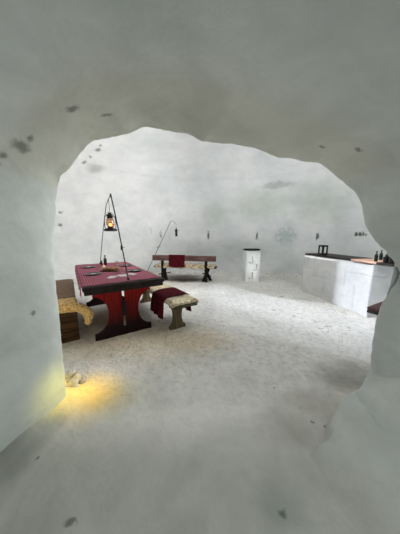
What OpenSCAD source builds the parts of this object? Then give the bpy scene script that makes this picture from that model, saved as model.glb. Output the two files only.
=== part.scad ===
// Oval snow hall with a hand-cut doorway, its entrance passage and what stands inside.
// Origin: centre of the hall on the ground. X runs along the hall, the entrance faces -Y.

/* [Hall] */
// Half of the hall's inner length, along X
hall_half_length = 4500; // [4300:50:5200]
// Half of the hall's inner width, along Y
hall_half_width = 2900; // [2850:50:3400]
// Inner height of the hall above its floor
hall_height = 3600; // [3400:50:4200]
// Thickness of the snow wall at the ground
wall_base = 1050; // [800:50:1300]
// Thickness of the snow at the top of the dome
crown_thickness = 500; // [350:25:700]
// How square the dome's profile is: 2 is an ellipse
profile_power = 2.4; // [2.1:0.1:3]
// Height of the ring wall, where the crown begins
ring_height = 3150; // [3120:10:3250]
// Thickness of the packed snow floor
floor_thickness = 200; // [120:10:300]

/* [Doorway and passage] */
// Width of the doorway
door_width = 2440; // [2200:20:2600]
// Height of the doorway
door_height = 2250; // [2150:10:2300]
// Place of the doorway's middle, along X
door_x = -170; // [-300:10:100]
// Length of the entrance passage outside the dome's foot
passage_length = 1600; // [1000:50:2400]
// Thickness of the passage's side walls at the ground
passage_wall = 600; // [500:20:700]
// Thickness of the snow over the passage
passage_roof = 450; // [400:10:500]
// How much wider the passage is at its mouth, as a share
passage_flare = 0.08; // [0:0.01:0.12]
// Height of the snow bank against the right jamb
bank_height = 520; // [300:20:600]

/* [Table] */
// Length of the table top
table_length = 2090; // [1950:10:2300]
// Width of the table top
table_width = 945; // [900:5:980]
// Height of the table
table_height = 785; // [750:5:800]
// Thickness of the table top
table_board = 45; // [30:5:55]
// Width of a trestle at its foot
trestle_foot = 735; // [700:5:800]
// Width of a trestle at its waist
trestle_waist = 380; // [320:10:440]
// Thickness of a trestle's boards
trestle_board = 50; // [40:2:60]
// Width of the slot between a trestle's two boards
trestle_slot = 36; // [30:2:50]

/* [Benches] */
// Length of the two benches at the table
bench_length = 1900; // [1700:50:2000]
// Width of their seats
bench_width = 340; // [300:10:360]
// Height of their seats
bench_height = 450; // [420:10:480]
// Thickness of a seat plank
bench_board = 40; // [30:2:50]
// Length of the bench at the back wall
back_bench_length = 1900; // [1600:50:2100]
// Height of its backrest
backrest_height = 785; // [740:5:840]

/* [Bar] */
// Length of the snow counter
counter_length = 1700; // [1500:20:1900]
// Depth of the snow counter
counter_depth = 560; // [450:10:640]
// Height of the snow counter
counter_height = 900; // [850:10:1000]
// How far the counter's board runs past its near end
board_overhang = 400; // [200:20:450]
// Height of the snow pedestal
pedestal_height = 930; // [850:10:1050]
// Width of the snow pedestal
pedestal_width = 440; // [400:10:520]

/* [Lanterns] */
// Height of the table lantern's stand above the table
stand_height = 1185; // [1100:5:1250]
// Thickness of the stand's rods
rod = 16; // [12:1:22]
// Width of the table lantern's base
lantern_base = 200; // [160:5:220]
// Height of the table lantern
lantern_height = 310; // [260:10:330]

/* [Hidden] */

// Clearance between pieces that seat on each other
gap = 0.3;
// Thickness of a cloth or blanket lying flat
cloth = 6;
// Thickness of a sheepskin or hide
fleece = 45;

snow = "#e9eeec";
shaded_snow = "#b9c2bd";
dark_wood = "#231c1a";
red_wood = "#8e1f1c";
brown_wood = "#7c5b34";
grey_wood = "#8d8268";
black_iron = "#1d1d1f";
burgundy = "#5c1730";
mauve = "#87505f";
cream = "#d9c9a0";
hide_brown = "#7a6a52";

// Angles round the hall where the wall is divided, from the door bay's right side
bay_left = 236;
bay_right = 299;
ring_parts = 7;
ring_step = (360 + bay_left - bay_right) / ring_parts;
ring_cols = 6;

function ring_angle(part, col) = bay_right + ring_step * (part + col / ring_cols);
function mix(a, b, t) = a + (b - a) * t;
function clamp01(t) = min(1, max(0, t));
function smooth(t) = clamp01(t) * clamp01(t) * (3 - 2 * clamp01(t));

// Share of the plan that is left at height z, for a dome that is h high above the floor
function dome_share(z, h) = pow(max(0, 1 - pow(max(0, z - floor_thickness) / h, profile_power)), 1 / profile_power);
function share_in(z) = dome_share(z, hall_height);
function share_out(z) = dome_share(z, hall_height + crown_thickness);
half_x_out = hall_half_length + wall_base;
half_y_out = hall_half_width + wall_base;
function oval(angle, a, b) = a * b / sqrt(pow(b * cos(angle), 2) + pow(a * sin(angle), 2)) * [cos(angle), sin(angle)];
function inner_at(angle, z) = [each oval(angle, hall_half_length, hall_half_width) * share_in(z), z];
function outer_at(angle, z) = [each oval(angle, half_x_out, half_y_out) * share_out(z), z];

// Heights of the rows of points on the ring wall
ring_rows = [0, floor_thickness, for (i = [1:7]) mix(floor_thickness, ring_height, i / 7)];

// Closed solid between an inner and an outer grid of points, rows upward and columns to the right
module shell(inner, outer) {
    rows = len(inner);
    cols = len(inner[0]);
    function n(i, j) = i * cols + j;
    function o(i, j) = rows * cols + i * cols + j;
    quads = concat(
        [for (i = [0:rows - 2], j = [0:cols - 2]) [o(i, j), o(i + 1, j), o(i + 1, j + 1), o(i, j + 1)]],
        [for (i = [0:rows - 2], j = [0:cols - 2]) [n(i, j + 1), n(i + 1, j + 1), n(i + 1, j), n(i, j)]],
        [for (j = [0:cols - 2]) [n(0, j), o(0, j), o(0, j + 1), n(0, j + 1)]],
        [for (j = [0:cols - 2]) [n(rows - 1, j + 1), o(rows - 1, j + 1), o(rows - 1, j), n(rows - 1, j)]],
        [for (i = [0:rows - 2]) [n(i, 0), n(i + 1, 0), o(i + 1, 0), o(i, 0)]],
        [for (i = [0:rows - 2]) [o(i, cols - 1), o(i + 1, cols - 1), n(i + 1, cols - 1), n(i, cols - 1)]]
    );
    polyhedron(
        points = concat([for (row = inner) each row], [for (row = outer) each row]),
        faces = [for (q = quads) each [[q[0], q[1], q[2]], [q[0], q[2], q[3]]]]
    );
}

module ring_wall(part) {
    color(snow)
        shell(
            [for (z = ring_rows) [for (c = [0:ring_cols]) inner_at(ring_angle(part, c), z)]],
            [for (z = ring_rows) [for (c = [0:ring_cols]) outer_at(ring_angle(part, c), z)]]
        );
}

// The hand-cut doorway, as shares of half its width and of its height.
// Each jamb is [height, offset from the middle], and the arch runs from left to right.
spring = 0.8;
left_jamb = [[0, -0.978], [0.16, -0.975], [0.32, -0.98], [0.44, -1], [0.57, -1.027], [0.73, -1.026], [spring, -1.035]];
right_jamb = [
    [0, 0.91], [0.3, 0.91], [0.365, 0.926], [0.43, 0.989], [0.484, 1.06], [0.56, 0.979],
    [0.62, 0.879], [0.68, 0.866], [0.74, 0.817], [spring, 0.695]
];
arch = [
    [-1.035, spring], [-0.98, 0.83], [-0.931, 0.861], [-0.886, 0.902], [-0.839, 0.934], [-0.725, 0.942],
    [-0.564, 0.949], [-0.49, 0.978], [-0.409, 0.967], [-0.254, 0.943], [-0.107, 0.907], [0.084, 0.894],
    [0.225, 0.876], [0.363, 0.845], [0.507, 0.839], [0.606, 0.838], [0.652, 0.821], [0.695, spring]
];
half_door = door_width / 2;
spring_z = floor_thickness + spring * door_height;
// Plane where the passage meets the dome
passage_y = -(half_y_out + 50);
mouth_y = passage_y - passage_length;
// The passage widens from the hall's face to its mouth
function flare(y) = 1 + passage_flare * max(0, -y - hall_half_width) / (-mouth_y - hall_half_width);
function jamb(side, z, y) = door_x + flare(y) * half_door
    * lookup(max(0, z - floor_thickness) / door_height, side < 0 ? left_jamb : right_jamb);
function arch_at(k, y) = [door_x + flare(y) * half_door * arch[k][0], floor_thickness + door_height * arch[k][1]];

// The outside of the passage, a rounded heap over the doorway
heap_half = half_door + passage_wall;
heap_top = floor_thickness + door_height + passage_roof;
heap_power = 2.6;
function heap_half_at(z) = heap_half * pow(max(0, 1 - pow(z / heap_top, heap_power)), 1 / heap_power);
function heap_share(x, z) = pow(pow(abs(x - door_x) / heap_half, heap_power) + pow(z / heap_top, heap_power), 1 / heap_power);
function y_in(x, z) = -hall_half_width * sqrt(max(0, pow(share_in(z), 2) - pow(x / hall_half_length, 2)));
function y_out(x, z) = -half_y_out * sqrt(max(0, pow(share_out(z), 2) - pow(x / half_x_out, 2)));
// The dome's outside swells into the passage's heap round the doorway
heap_blend = 0.2;
function swell(x, z) = smooth((1 + heap_blend - heap_share(x, z)) / heap_blend)
    * smooth((ring_height - z) / (ring_height - heap_top));
function y_bay(x, z) = mix(y_out(x, z), passage_y, swell(x, z));

bay_cols = 8;
jamb_rows = [0, floor_thickness, for (i = [1:8]) mix(floor_thickness, spring_z, i / 8)];
function pier_in(side, z, t) = let (
    edge = inner_at(side < 0 ? bay_left : bay_right, z)[0],
    rim = jamb(side, z, -hall_half_width),
    x = side < 0 ? mix(edge, rim, t) : mix(rim, edge, t)
) [x, y_in(x, z), z];
function pier_out(side, z, t) = let (
    edge = outer_at(side < 0 ? bay_left : bay_right, z)[0],
    rim = jamb(side, z, passage_y),
    x = side < 0 ? mix(edge, rim, t) : mix(rim, edge, t)
) [x, y_bay(x, z), z];

module door_pier(side) {
    color(snow)
        shell(
            [for (z = jamb_rows) [for (c = [0:bay_cols]) pier_in(side, z, c / bay_cols)]],
            [for (z = jamb_rows) [for (c = [0:bay_cols]) pier_out(side, z, c / bay_cols)]]
        );
}

// Bottom points of the lintel's columns: along the pier, over the arch, and along the other pier
side_cols = 4;
function lintel_foot(left, right, y) = concat(
    [for (c = [0:side_cols - 1]) [mix(left, arch_at(0, y)[0], c / side_cols), spring_z]],
    [for (k = [0:len(arch) - 1]) arch_at(k, y)],
    [for (c = [1:side_cols]) [mix(arch_at(len(arch) - 1, y)[0], right, c / side_cols), spring_z]]
);
lintel_rows = 10;

module door_lintel() {
    function edge_in(angle, z) = inner_at(angle, z)[0];
    function edge_out(angle, z) = outer_at(angle, z)[0];
    foot_in = lintel_foot(edge_in(bay_left, spring_z), edge_in(bay_right, spring_z), -hall_half_width);
    foot_out = lintel_foot(edge_out(bay_left, spring_z), edge_out(bay_right, spring_z), passage_y);
    function inside(p, t) = let (
        z = mix(p[1], ring_height, t),
        share = (p[0] - edge_in(bay_left, p[1])) / (edge_in(bay_right, p[1]) - edge_in(bay_left, p[1])),
        x = mix(edge_in(bay_left, z), edge_in(bay_right, z), share)
    ) [x, y_in(x, z), z];
    function outside(p, t) = let (
        z = mix(p[1], ring_height, t),
        share = (p[0] - edge_out(bay_left, p[1])) / (edge_out(bay_right, p[1]) - edge_out(bay_left, p[1])),
        x = mix(edge_out(bay_left, z), edge_out(bay_right, z), share)
    ) [x, y_bay(x, z), z];
    color(snow)
        shell(
            [for (i = [0:lintel_rows]) [for (p = foot_in) inside(p, i / lintel_rows)]],
            [for (i = [0:lintel_rows]) [for (p = foot_out) outside(p, i / lintel_rows)]]
        );
}

// The crown closes the dome above the ring wall
crown_cols = 36;
crown_rows = 6;
module dome_crown() {
    function level(h, i) = mix(ring_height, floor_thickness + h, sin(90 * i / crown_rows));
    in_top = crown_rows * crown_cols;
    out_first = in_top + 1;
    out_top = out_first + crown_rows * crown_cols;
    function n(i, j) = i * crown_cols + j % crown_cols;
    function o(i, j) = out_first + n(i, j);
    quads = concat(
        [for (i = [0:crown_rows - 2], j = [0:crown_cols - 1]) [o(i, j), o(i + 1, j), o(i + 1, j + 1), o(i, j + 1)]],
        [for (i = [0:crown_rows - 2], j = [0:crown_cols - 1]) [n(i, j + 1), n(i + 1, j + 1), n(i + 1, j), n(i, j)]],
        [for (j = [0:crown_cols - 1]) [n(0, j), o(0, j), o(0, j + 1), n(0, j + 1)]]
    );
    color(snow)
        polyhedron(
            points = concat(
                [for (i = [0:crown_rows - 1], j = [0:crown_cols - 1]) inner_at(10 * j, level(hall_height, i))],
                [[0, 0, floor_thickness + hall_height]],
                [for (i = [0:crown_rows - 1], j = [0:crown_cols - 1])
                    outer_at(10 * j, level(hall_height + crown_thickness, i))],
                [[0, 0, floor_thickness + hall_height + crown_thickness]]
            ),
            faces = concat(
                [for (q = quads) each [[q[0], q[1], q[2]], [q[0], q[2], q[3]]]],
                [for (j = [0:crown_cols - 1]) [n(crown_rows - 1, j + 1), in_top, n(crown_rows - 1, j)]],
                [for (j = [0:crown_cols - 1]) [o(crown_rows - 1, j), out_top, o(crown_rows - 1, j + 1)]]
            )
        );
}

// The entrance passage in front of the dome
passage_steps = 4;
function passage_at(t) = mix(passage_y, mouth_y, t);

module passage_wall(side) {
    ys = [for (i = [0:passage_steps]) passage_at(side < 0 ? i / passage_steps : 1 - i / passage_steps)];
    color(snow)
        shell(
            [for (z = jamb_rows) [for (y = ys) [jamb(side, z, y), y, z]]],
            [for (z = jamb_rows) [for (y = ys) [door_x + side * heap_half_at(z), y, z]]]
        );
}

module passage_vault() {
    last = len(arch) - 1;
    ys = [for (i = [0:passage_steps]) passage_at(1 - i / passage_steps)];
    // The heap's outline above the springing, one point for each point of the arch
    from = acos(-pow(heap_half_at(spring_z) / heap_half, heap_power / 2));
    function heap_at(k) = let (a = mix(from, 180 - from, k / last)) [
        door_x + heap_half * sign(cos(a)) * pow(abs(cos(a)), 2 / heap_power),
        heap_top * pow(sin(a), 2 / heap_power)
    ];
    color(snow)
        shell(
            [for (y = ys) [for (k = [0:last]) [arch_at(k, y)[0], y, arch_at(k, y)[1]]]],
            [for (y = ys) [for (k = [0:last]) [heap_at(k)[0], y, heap_at(k)[1]]]]
        );
}

module snow_floor() {
    outline = concat(
        [for (part = [0:ring_parts - 1], c = [0:ring_cols - 1]) inner_at(ring_angle(part, c), 0)],
        [for (c = [0:bay_cols]) pier_in(-1, 0, c / bay_cols)],
        [for (i = [0:passage_steps]) let (y = passage_at(i / passage_steps)) [jamb(-1, 0, y), y]],
        [for (i = [0:passage_steps]) let (y = passage_at(1 - i / passage_steps)) [jamb(1, 0, y), y]],
        [for (c = [0:bay_cols - 1]) pier_in(1, 0, c / bay_cols)]
    );
    color(snow) linear_extrude(floor_thickness) polygon([for (p = outline) [p[0], p[1]]]);
}

// Snow pushed against the right jamb's foot
bank_rows = 6;
bank_cols = 6;
bank_lip = [[0, 280], [0.35, 460], [0.7, 640], [1, 220]];
module snow_bank() {
    first_y = y_in(jamb(1, 0, -hall_half_width), 0);
    function y_at(i) = mix(passage_y, first_y, i / bank_rows);
    function wall_x(y) = mix(
        jamb(1, 0, -hall_half_width), jamb(1, 0, passage_y), (first_y - y) / (first_y - passage_y)) - gap;
    function x_at(y, j, i) = mix(wall_x(y) - lookup(i / bank_rows, bank_lip), wall_x(y), j / bank_cols);
    color(shaded_snow)
        shell(
            [for (i = [0:bank_rows]) [for (j = [0:bank_cols]) [x_at(y_at(i), j, i), y_at(i), floor_thickness]]],
            [for (i = [0:bank_rows]) [for (j = [0:bank_cols]) [
                x_at(y_at(i), j, i), y_at(i),
                floor_thickness + mix(40, bank_height, pow(j / bank_cols, 1.4))
            ]]]
        );
}

// The pieces inside keep their distance from the hall's front or back, and from its right end
function from_front(distance) = distance - hall_half_width;
function from_back(distance) = hall_half_width - distance;
function from_right(distance) = hall_half_length - distance;

// Everything inside stands on the snow floor
module on_floor(place, turn) {
    translate([place[0], place[1], floor_thickness]) rotate([0, 0, turn]) children();
}

// A round bar from one point to another
module bar(from, to, thickness) {
    d = to - from;
    translate(from)
        rotate([0, acos(d[2] / norm(d)), atan2(d[1], d[0])])
            cylinder(d = thickness, h = norm(d), $fn = 24);
}

// A box that is centred in X and Y
module block(size) {
    translate([-size[0] / 2, -size[1] / 2, 0]) cube(size);
}

// Bar of snow blocks with a dark board
counter_place = [from_right(1908), from_front(2699)];
counter_turn = 8.4;
counter_board_t = 35;
module bar_counter() {
    color(snow) on_floor(counter_place, counter_turn) block([counter_depth, counter_length, counter_height]);
}
module counter_board() {
    color(dark_wood)
        on_floor(counter_place, counter_turn)
            translate([0, -(board_overhang + 40) / 2, counter_height])
                block([counter_depth - 40, counter_length + board_overhang - 40, counter_board_t]);
}

near_end = counter_length / 2;
module bottle(width, height) {
    rotate_extrude($fn = 32)
        polygon([
            [0, 0], [width / 2, 0], [width / 2, height * 0.6], [width / 5, height * 0.76],
            [width / 5, height], [0, height]
        ]);
}
module tumbler(width, height) {
    rotate_extrude($fn = 32) polygon([[0, 0], [width * 0.4, 0], [width / 2, height], [0, height]]);
}
module framed_lantern(width, height) {
    post = 14;
    difference() {
        block([width, width, height]);
        translate([0, 0, 20]) block([width - 2 * post, width + 2, height - 45]);
        translate([0, 0, 20]) block([width + 2, width - 2 * post, height - 45]);
    }
    block([width * 0.4, width * 0.4, height * 0.5]);
}
module counter_ware() {
    color("#22302a")
        on_floor(counter_place, counter_turn)
            translate([0, 0, counter_height + counter_board_t + gap]) {
                translate([-175, 370, 0]) framed_lantern(130, 210);
                for (p = [[-185, 60 - near_end], [97, 220 - near_end], [-60, 0 - near_end]])
                    translate([p[0], p[1], 0]) bottle(48, 170);
                for (k = [0:6])
                    translate([-190 + 95 * (k % 3), -90 - near_end - 85 * floor(k / 3), 0]) tumbler(70, 90);
            }
}

pedestal_place = [1225, from_back(1190)];
module pedestal() {
    niche = 60;
    color(snow)
        on_floor(pedestal_place, 0)
            difference() {
                block([pedestal_width, pedestal_width - 20, pedestal_height]);
                for (n = [[-60, 0.62], [70, 0.4], [-50, 0.14]])
                    translate([n[0], -pedestal_width / 2, pedestal_height * n[1]])
                        block([90, 2 * niche, 130]);
            }
}
module pedestal_tray() {
    color(black_iron)
        on_floor(pedestal_place, 0)
            translate([0, 0, pedestal_height])
                difference() {
                    cylinder(d = pedestal_width + 60, h = 32, $fn = 72);
                    translate([0, 0, 14]) cylinder(d = pedestal_width + 36, h = 30, $fn = 72);
                }
}

// Trestle table
table_place = [-1741, from_front(1918)];
table_turn = 33.2;
apron = 50;
trestle_y = table_length / 2 - 300;
trestle_top = table_height - table_board;
slot_low = 0.16 * trestle_top;
stretcher_low = 0.42 * trestle_top;
stretcher_size = 150;
module at_table(z = 0) {
    on_floor(table_place, table_turn) translate([0, 0, z]) children();
}
module table_top() {
    inset = 15;
    thick = 30;
    color(dark_wood)
        at_table(trestle_top - apron)
            union() {
                translate([0, 0, apron]) block([table_width, table_length, table_board]);
                difference() {
                    block([table_width - 2 * inset, table_length - 2 * inset, apron]);
                    translate([0, 0, -1])
                        block([table_width - 2 * inset - 2 * thick, table_length - 2 * inset - 2 * thick, apron + 1]);
                }
            }
}

// The outline of a trestle: broad head, round bites at the waist, broad foot
module trestle_outline(head, waist, foot, height, head_h, foot_h) {
    bite = (height - head_h - foot_h) / 2;
    difference() {
        union() {
            translate([-head / 2, height / 2]) square([head, height / 2]);
            translate([-foot / 2, 0]) square([foot, height / 2]);
        }
        for (s = [-1, 1]) {
            translate([s * (waist / 2 + bite), foot_h + bite]) circle(bite, $fn = 64);
            translate([s > 0 ? waist / 2 + bite : -foot, foot_h]) square([foot - waist / 2 - bite, 2 * bite]);
        }
    }
}
module table_trestles() {
    color(red_wood)
        at_table()
            for (s = [-1, 1])
                translate([0, s * trestle_y + trestle_board / 2, 0])
                    rotate([90, 0, 0])
                        linear_extrude(trestle_board)
                            difference() {
                                trestle_outline(trestle_foot - 10, trestle_waist, trestle_foot, trestle_top, 150, 90);
                                translate([-trestle_slot / 2, slot_low]) square([trestle_slot, trestle_top - slot_low - 40]);
                            }
}
module table_stretcher() {
    color(dark_wood)
        at_table(stretcher_low)
            block([trestle_slot - 2 * gap, 2 * trestle_y + trestle_board + 120, stretcher_size]);
}

cloth_top = table_height + cloth + gap;
module tablecloth() {
    over = 130;
    color(mauve)
        at_table(table_height + gap)
            translate([-table_width / 2 - gap, -table_length / 2 + 60, 0]) {
                cube([table_width - 20, table_length - 120, cloth]);
                translate([-cloth, 0, -over]) cube([cloth, table_length - 120, over + cloth]);
            }
}
plate_spots = [[-290, -292], [-293, 471], [293, -330], [306, 324]];
module table_ware() {
    plate = 225;
    color("#26201f")
        at_table(cloth_top + gap) {
            for (p = plate_spots)
                translate([p[0], p[1], 0])
                    rotate_extrude($fn = 48)
                        polygon([[0, 0], [plate * 0.3, 0], [plate / 2, 16], [plate / 2, 20], [plate * 0.3, 6], [0, 6]]);
            translate([4, 675, 0]) bottle(58, 190);
            translate([-60, 715, 0]) cylinder(d = 40, h = 85, $fn = 32);
            translate([-35, -90, 0]) rotate([0, 0, -33]) block([250, 170, 18]);
            translate([-95, 120, 0]) cylinder(d = 46, h = 105, $fn = 32);
            translate([30, -356, 0]) tumbler(62, 75);
        }
}

// Lantern stand on the table: two leaning rods and a bent hook
near_foot = [38, -924, 0];
far_foot = [-50, 960, 0];
near_tip = [50, -50, stand_height];
far_tip = [30, 300, stand_height - 130];
hook_share = 0.41;
hook_drop = 249;
hook_at = [mix(near_tip[0], far_tip[0], hook_share), mix(near_tip[1], far_tip[1], hook_share), stand_height - hook_drop];
module at_cloth() {
    at_table(cloth_top + gap) children();
}
module lantern_stand() {
    color(black_iron)
        at_cloth() {
            for (ends = [[near_foot, near_tip], [far_foot, far_tip]]) {
                translate(ends[0]) cylinder(d = 46, h = 6, $fn = 32);
                bar(ends[0] + [0, 0, 3], ends[1], rod);
            }
            bar(near_tip, far_tip, rod * 0.7);
            bar(mix(near_tip, far_tip, hook_share), hook_at + [0, 0, gap], rod * 0.5);
        }
}
// Heights on the lantern, from its underside
lantern_low = hook_at[2] - lantern_height;
module table_lantern() {
    r = lantern_base / 2;
    glass_low = lantern_height * 0.22;
    glass_high = lantern_height * 0.66;
    color(black_iron)
        at_cloth()
            translate([hook_at[0], hook_at[1], lantern_low]) {
                rotate_extrude($fn = 48)
                    polygon([
                        [0, 0], [r, 0], [r, glass_low * 0.55], [r * 0.6, glass_low], [0, glass_low]
                    ]);
                rotate_extrude($fn = 48)
                    polygon([
                        [0, glass_high], [r * 0.95, glass_high], [r * 0.95, glass_high + 12], [r * 0.4, glass_high + 34],
                        [r * 0.4, lantern_height - 32], [r * 0.55, lantern_height - 24], [8, lantern_height], [0, lantern_height]
                    ]);
                for (a = [45, 225])
                    rotate([0, 0, a]) translate([r * 0.85, 0, glass_low * 0.3]) cylinder(d = 9, h = glass_high - glass_low * 0.3 + 6, $fn = 24);
            }
}
module lantern_glass() {
    r = lantern_base / 2;
    low = lantern_height * 0.22 + gap;
    high = lantern_height * 0.66 - gap;
    color("#f2c27a")
        at_cloth()
            translate([hook_at[0], hook_at[1], lantern_low])
                rotate_extrude($fn = 48)
                    polygon([
                        [r * 0.42, low], [r * 0.62, mix(low, high, 0.35)], [r * 0.58, mix(low, high, 0.65)], [r * 0.42, high],
                        [r * 0.36, high], [r * 0.52, mix(low, high, 0.65)], [r * 0.56, mix(low, high, 0.35)], [r * 0.36, low]
                    ]);
}

// Benches beside the table, in the table's own directions
right_bench_place = [675, -1277];
left_bench_place = [-710, -630];
module at_right_bench(z = 0) {
    at_table(z) translate([right_bench_place[0], right_bench_place[1], 0]) children();
}
module at_left_bench(z = 0) {
    at_table(z) translate([left_bench_place[0], left_bench_place[1], 0]) children();
}
module right_bench_seat() {
    color(grey_wood)
        at_right_bench(bench_height - bench_board)
            translate([-bench_width / 2, 0, 0]) cube([bench_width, bench_length, bench_board]);
}
module right_bench_trestles() {
    color(grey_wood)
        at_right_bench()
            for (y = [260, bench_length - 260])
                translate([0, y + 45, 0])
                    rotate([90, 0, 0])
                        linear_extrude(45)
                            trestle_outline(230, 130, 250, bench_height - bench_board, 60, 60);
}
// A soft layer over a seat with a flap down each side
module draped(width, length, thick, left_drop, right_drop) {
    half = width / 2;
    translate([-half, 0, 0]) cube([width, length, thick]);
    if (left_drop > 0) translate([-half - thick, 0, -left_drop]) cube([thick, length, left_drop + thick]);
    if (right_drop > 0) translate([half, 0, -right_drop]) cube([thick, length, right_drop + thick]);
}
module right_sheepskin() {
    color(cream)
        at_right_bench(bench_height + gap)
            translate([0, 30, 0]) draped(bench_width + 20 * gap, 1150, 40, 0, 0);
}
module right_blanket() {
    color(burgundy)
        at_right_bench(bench_height + 40 + 2 * gap)
            translate([0, 330, 0]) draped(bench_width + 20 * gap + 2 * gap, 340, 22, 260, 150);
}
module left_bench() {
    color(brown_wood)
        at_left_bench() {
            wide = bench_width + 20;
            board_h = (bench_height - bench_board - 40) / 3;
            translate([-wide / 2, 0, bench_height - bench_board]) cube([wide, bench_length, bench_board]);
            for (y = [30, bench_length - 80]) {
                for (k = [0:2])
                    translate([-wide / 2 + 5, y, 10 + k * (board_h + 10)]) cube([wide - 10, 50, board_h]);
                for (x = [-110, 70])
                    translate([x, y + 50, 0]) cube([50, 50, bench_height - bench_board]);
            }
        }
}
module left_hide() {
    color(hide_brown)
        at_left_bench(bench_height + gap)
            translate([-bench_width / 2, 420, 0]) cube([bench_width, bench_length - 450, fleece]);
}
module left_sheepskin() {
    color(cream)
        at_left_bench(bench_height + gap)
            union() {
                half = bench_width / 2 + 11;
                translate([-half, -40, 0]) cube([2 * half, 440, fleece]);
                // The near corner curls out over the seat's edge
                translate([0, 120, 0])
                    rotate([90, 0, 0])
                        linear_extrude(160)
                            polygon([
                                [half - 30, 0], [half, 0], [half + 70, -215], [half + 130, -200],
                                [half + 75, -20], [half + 40, fleece], [half - 30, fleece]
                            ]);
            }
}

// Bench with a backrest, its back to the doorway
back_place = [-775, from_back(1300)];
back_turn = -11;
module at_back_bench(z = 0) {
    on_floor(back_place, back_turn) translate([0, 0, z]) children();
}
module back_bench() {
    seat_depth = 340;
    post = 60;
    end_x = back_bench_length / 2;
    color(grey_wood)
        at_back_bench() {
            translate([-end_x, 0, bench_height - bench_board]) cube([back_bench_length, seat_depth, bench_board]);
            translate([-end_x, -post, backrest_height - 160]) cube([back_bench_length, 34, 160]);
            for (x = [-end_x + 260, end_x - 320])
                translate([x, -post + 34, 0]) cube([post, post - 34, backrest_height - 20]);
            for (x = [-end_x + 260, end_x - 320])
                translate([x, seat_depth - post, 0]) cube([post, post, bench_height - bench_board]);
            for (x = [-end_x + 260, end_x - 320])
                translate([x, 0, 180]) cube([post, seat_depth - post, 60]);
        }
}
module back_sheepskin() {
    color(cream)
        at_back_bench(bench_height + gap)
            union() {
                ends = back_bench_length / 2;
                translate([60 - ends, 0, 0]) cube([2 * ends - 120, 345, 50]);
                // It hangs over the seat's edge beside the posts
                for (span = [[60 - ends, 250 - ends], [330 - ends, ends - 330], [ends - 250, ends - 60]])
                    translate([span[0], -24, 0]) {
                        cube([span[1] - span[0], 40, 50]);
                        translate([0, 0, -110]) cube([span[1] - span[0], 24 - gap, 120]);
                    }
            }
}
module back_blanket() {
    color(burgundy)
        at_back_bench()
            translate([-430, -60 - 22 - gap, 0]) {
                translate([0, 0, backrest_height - 330]) cube([480, 22, 330 + gap]);
                translate([0, 0, backrest_height + gap]) cube([480, 22 + 34 + 2 * gap + 22, 22]);
                translate([0, 22 + 34 + 2 * gap + 26, backrest_height - 120]) cube([480, 22, 142 + gap]);
                translate([0, 22 + 34 + 2 * gap, backrest_height + gap]) cube([480, 48, 22]);
            }
}

// Leaning pole at the back wall with a small lantern
pole_y = from_back(800);
pole_foot = [-2100, pole_y];
pole_top = [-1190, pole_y, 2000];
pole_arm = [-1035, pole_y, 1890];
lantern_drop = 100;
pole_lantern_height = 260;
module lantern_pole() {
    color(black_iron) {
        foot = [pole_foot[0], pole_foot[1], floor_thickness];
        translate(foot) cylinder(d = 60, h = 8, $fn = 32);
        bar(foot + [0, 0, 4], pole_top, 22);
        bar(pole_top, pole_arm, 14);
        bar(mix(foot, pole_top, 0.56) - [60, 0, 20], mix(foot, pole_top, 0.56) + [60, 0, 20], 20);
        bar(pole_arm, pole_arm - [0, 0, lantern_drop], 8);
    }
}
module pole_lantern() {
    across = 95;
    body = 165;
    color(black_iron)
        translate([pole_arm[0], pole_arm[1], pole_arm[2] - lantern_drop - pole_lantern_height - gap]) {
            cylinder(d = across, h = 25, $fn = 48);
            for (a = [45:90:315])
                rotate([0, 0, a]) translate([across / 2 - 12, 0, 10]) block([12, 12, body - 5]);
            rotate_extrude($fn = 48)
                polygon([
                    [0, body], [across / 2 + 10, body], [across / 2 + 10, body + 10], [14, body + 70],
                    [14, pole_lantern_height], [0, pole_lantern_height]
                ]);
            translate([0, 0, 10]) cylinder(d = 42, h = 90, $fn = 24);
        }
}

// Low stool at the counter's end
counter_corner = counter_place + [
    sin(counter_turn) * counter_length / 2 - cos(counter_turn) * counter_depth / 2,
    -cos(counter_turn) * counter_length / 2 - sin(counter_turn) * counter_depth / 2
];
stool_place = counter_corner + [-396, -799];
stool_turn = 29;
stool_size = [480, 340];
module bar_stool() {
    color(dark_wood)
        on_floor(stool_place, stool_turn) {
            translate([0, 0, 410]) block([stool_size[0], stool_size[1], 40]);
            for (x = [-100, 100])
                translate([x - 22, 0, 0])
                    rotate([90, 0, 90])
                        linear_extrude(45)
                            polygon([
                                [-90, 0], [90, 0], [90, 45], [55, 190], [72, 360], [72, 411],
                                [-72, 411], [-72, 360], [-55, 190], [-90, 45]
                            ]);
        }
}
module stool_cover() {
    color("#3f1418")
        on_floor(stool_place, stool_turn)
            translate([0, 0, 450 + gap]) block([stool_size[0] + 10, stool_size[1] + 10, 45]);
}

// Lumps of snow heaped round a candle, just inside the left jamb
lump = 110;
lamp_side = -80;
lamp_inward = 190;
module snow_lamp() {
    jamb_x = jamb(-1, 0, -hall_half_width);
    color(snow)
        translate([jamb_x + lamp_side, y_in(jamb_x, 0) + lamp_inward, floor_thickness])
            intersection() {
                translate([0, 0, lump * 0.4]) sphere(lump, $fn = 40);
                block([3 * lump, 3 * lump, 2 * lump]);
            }
}

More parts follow.
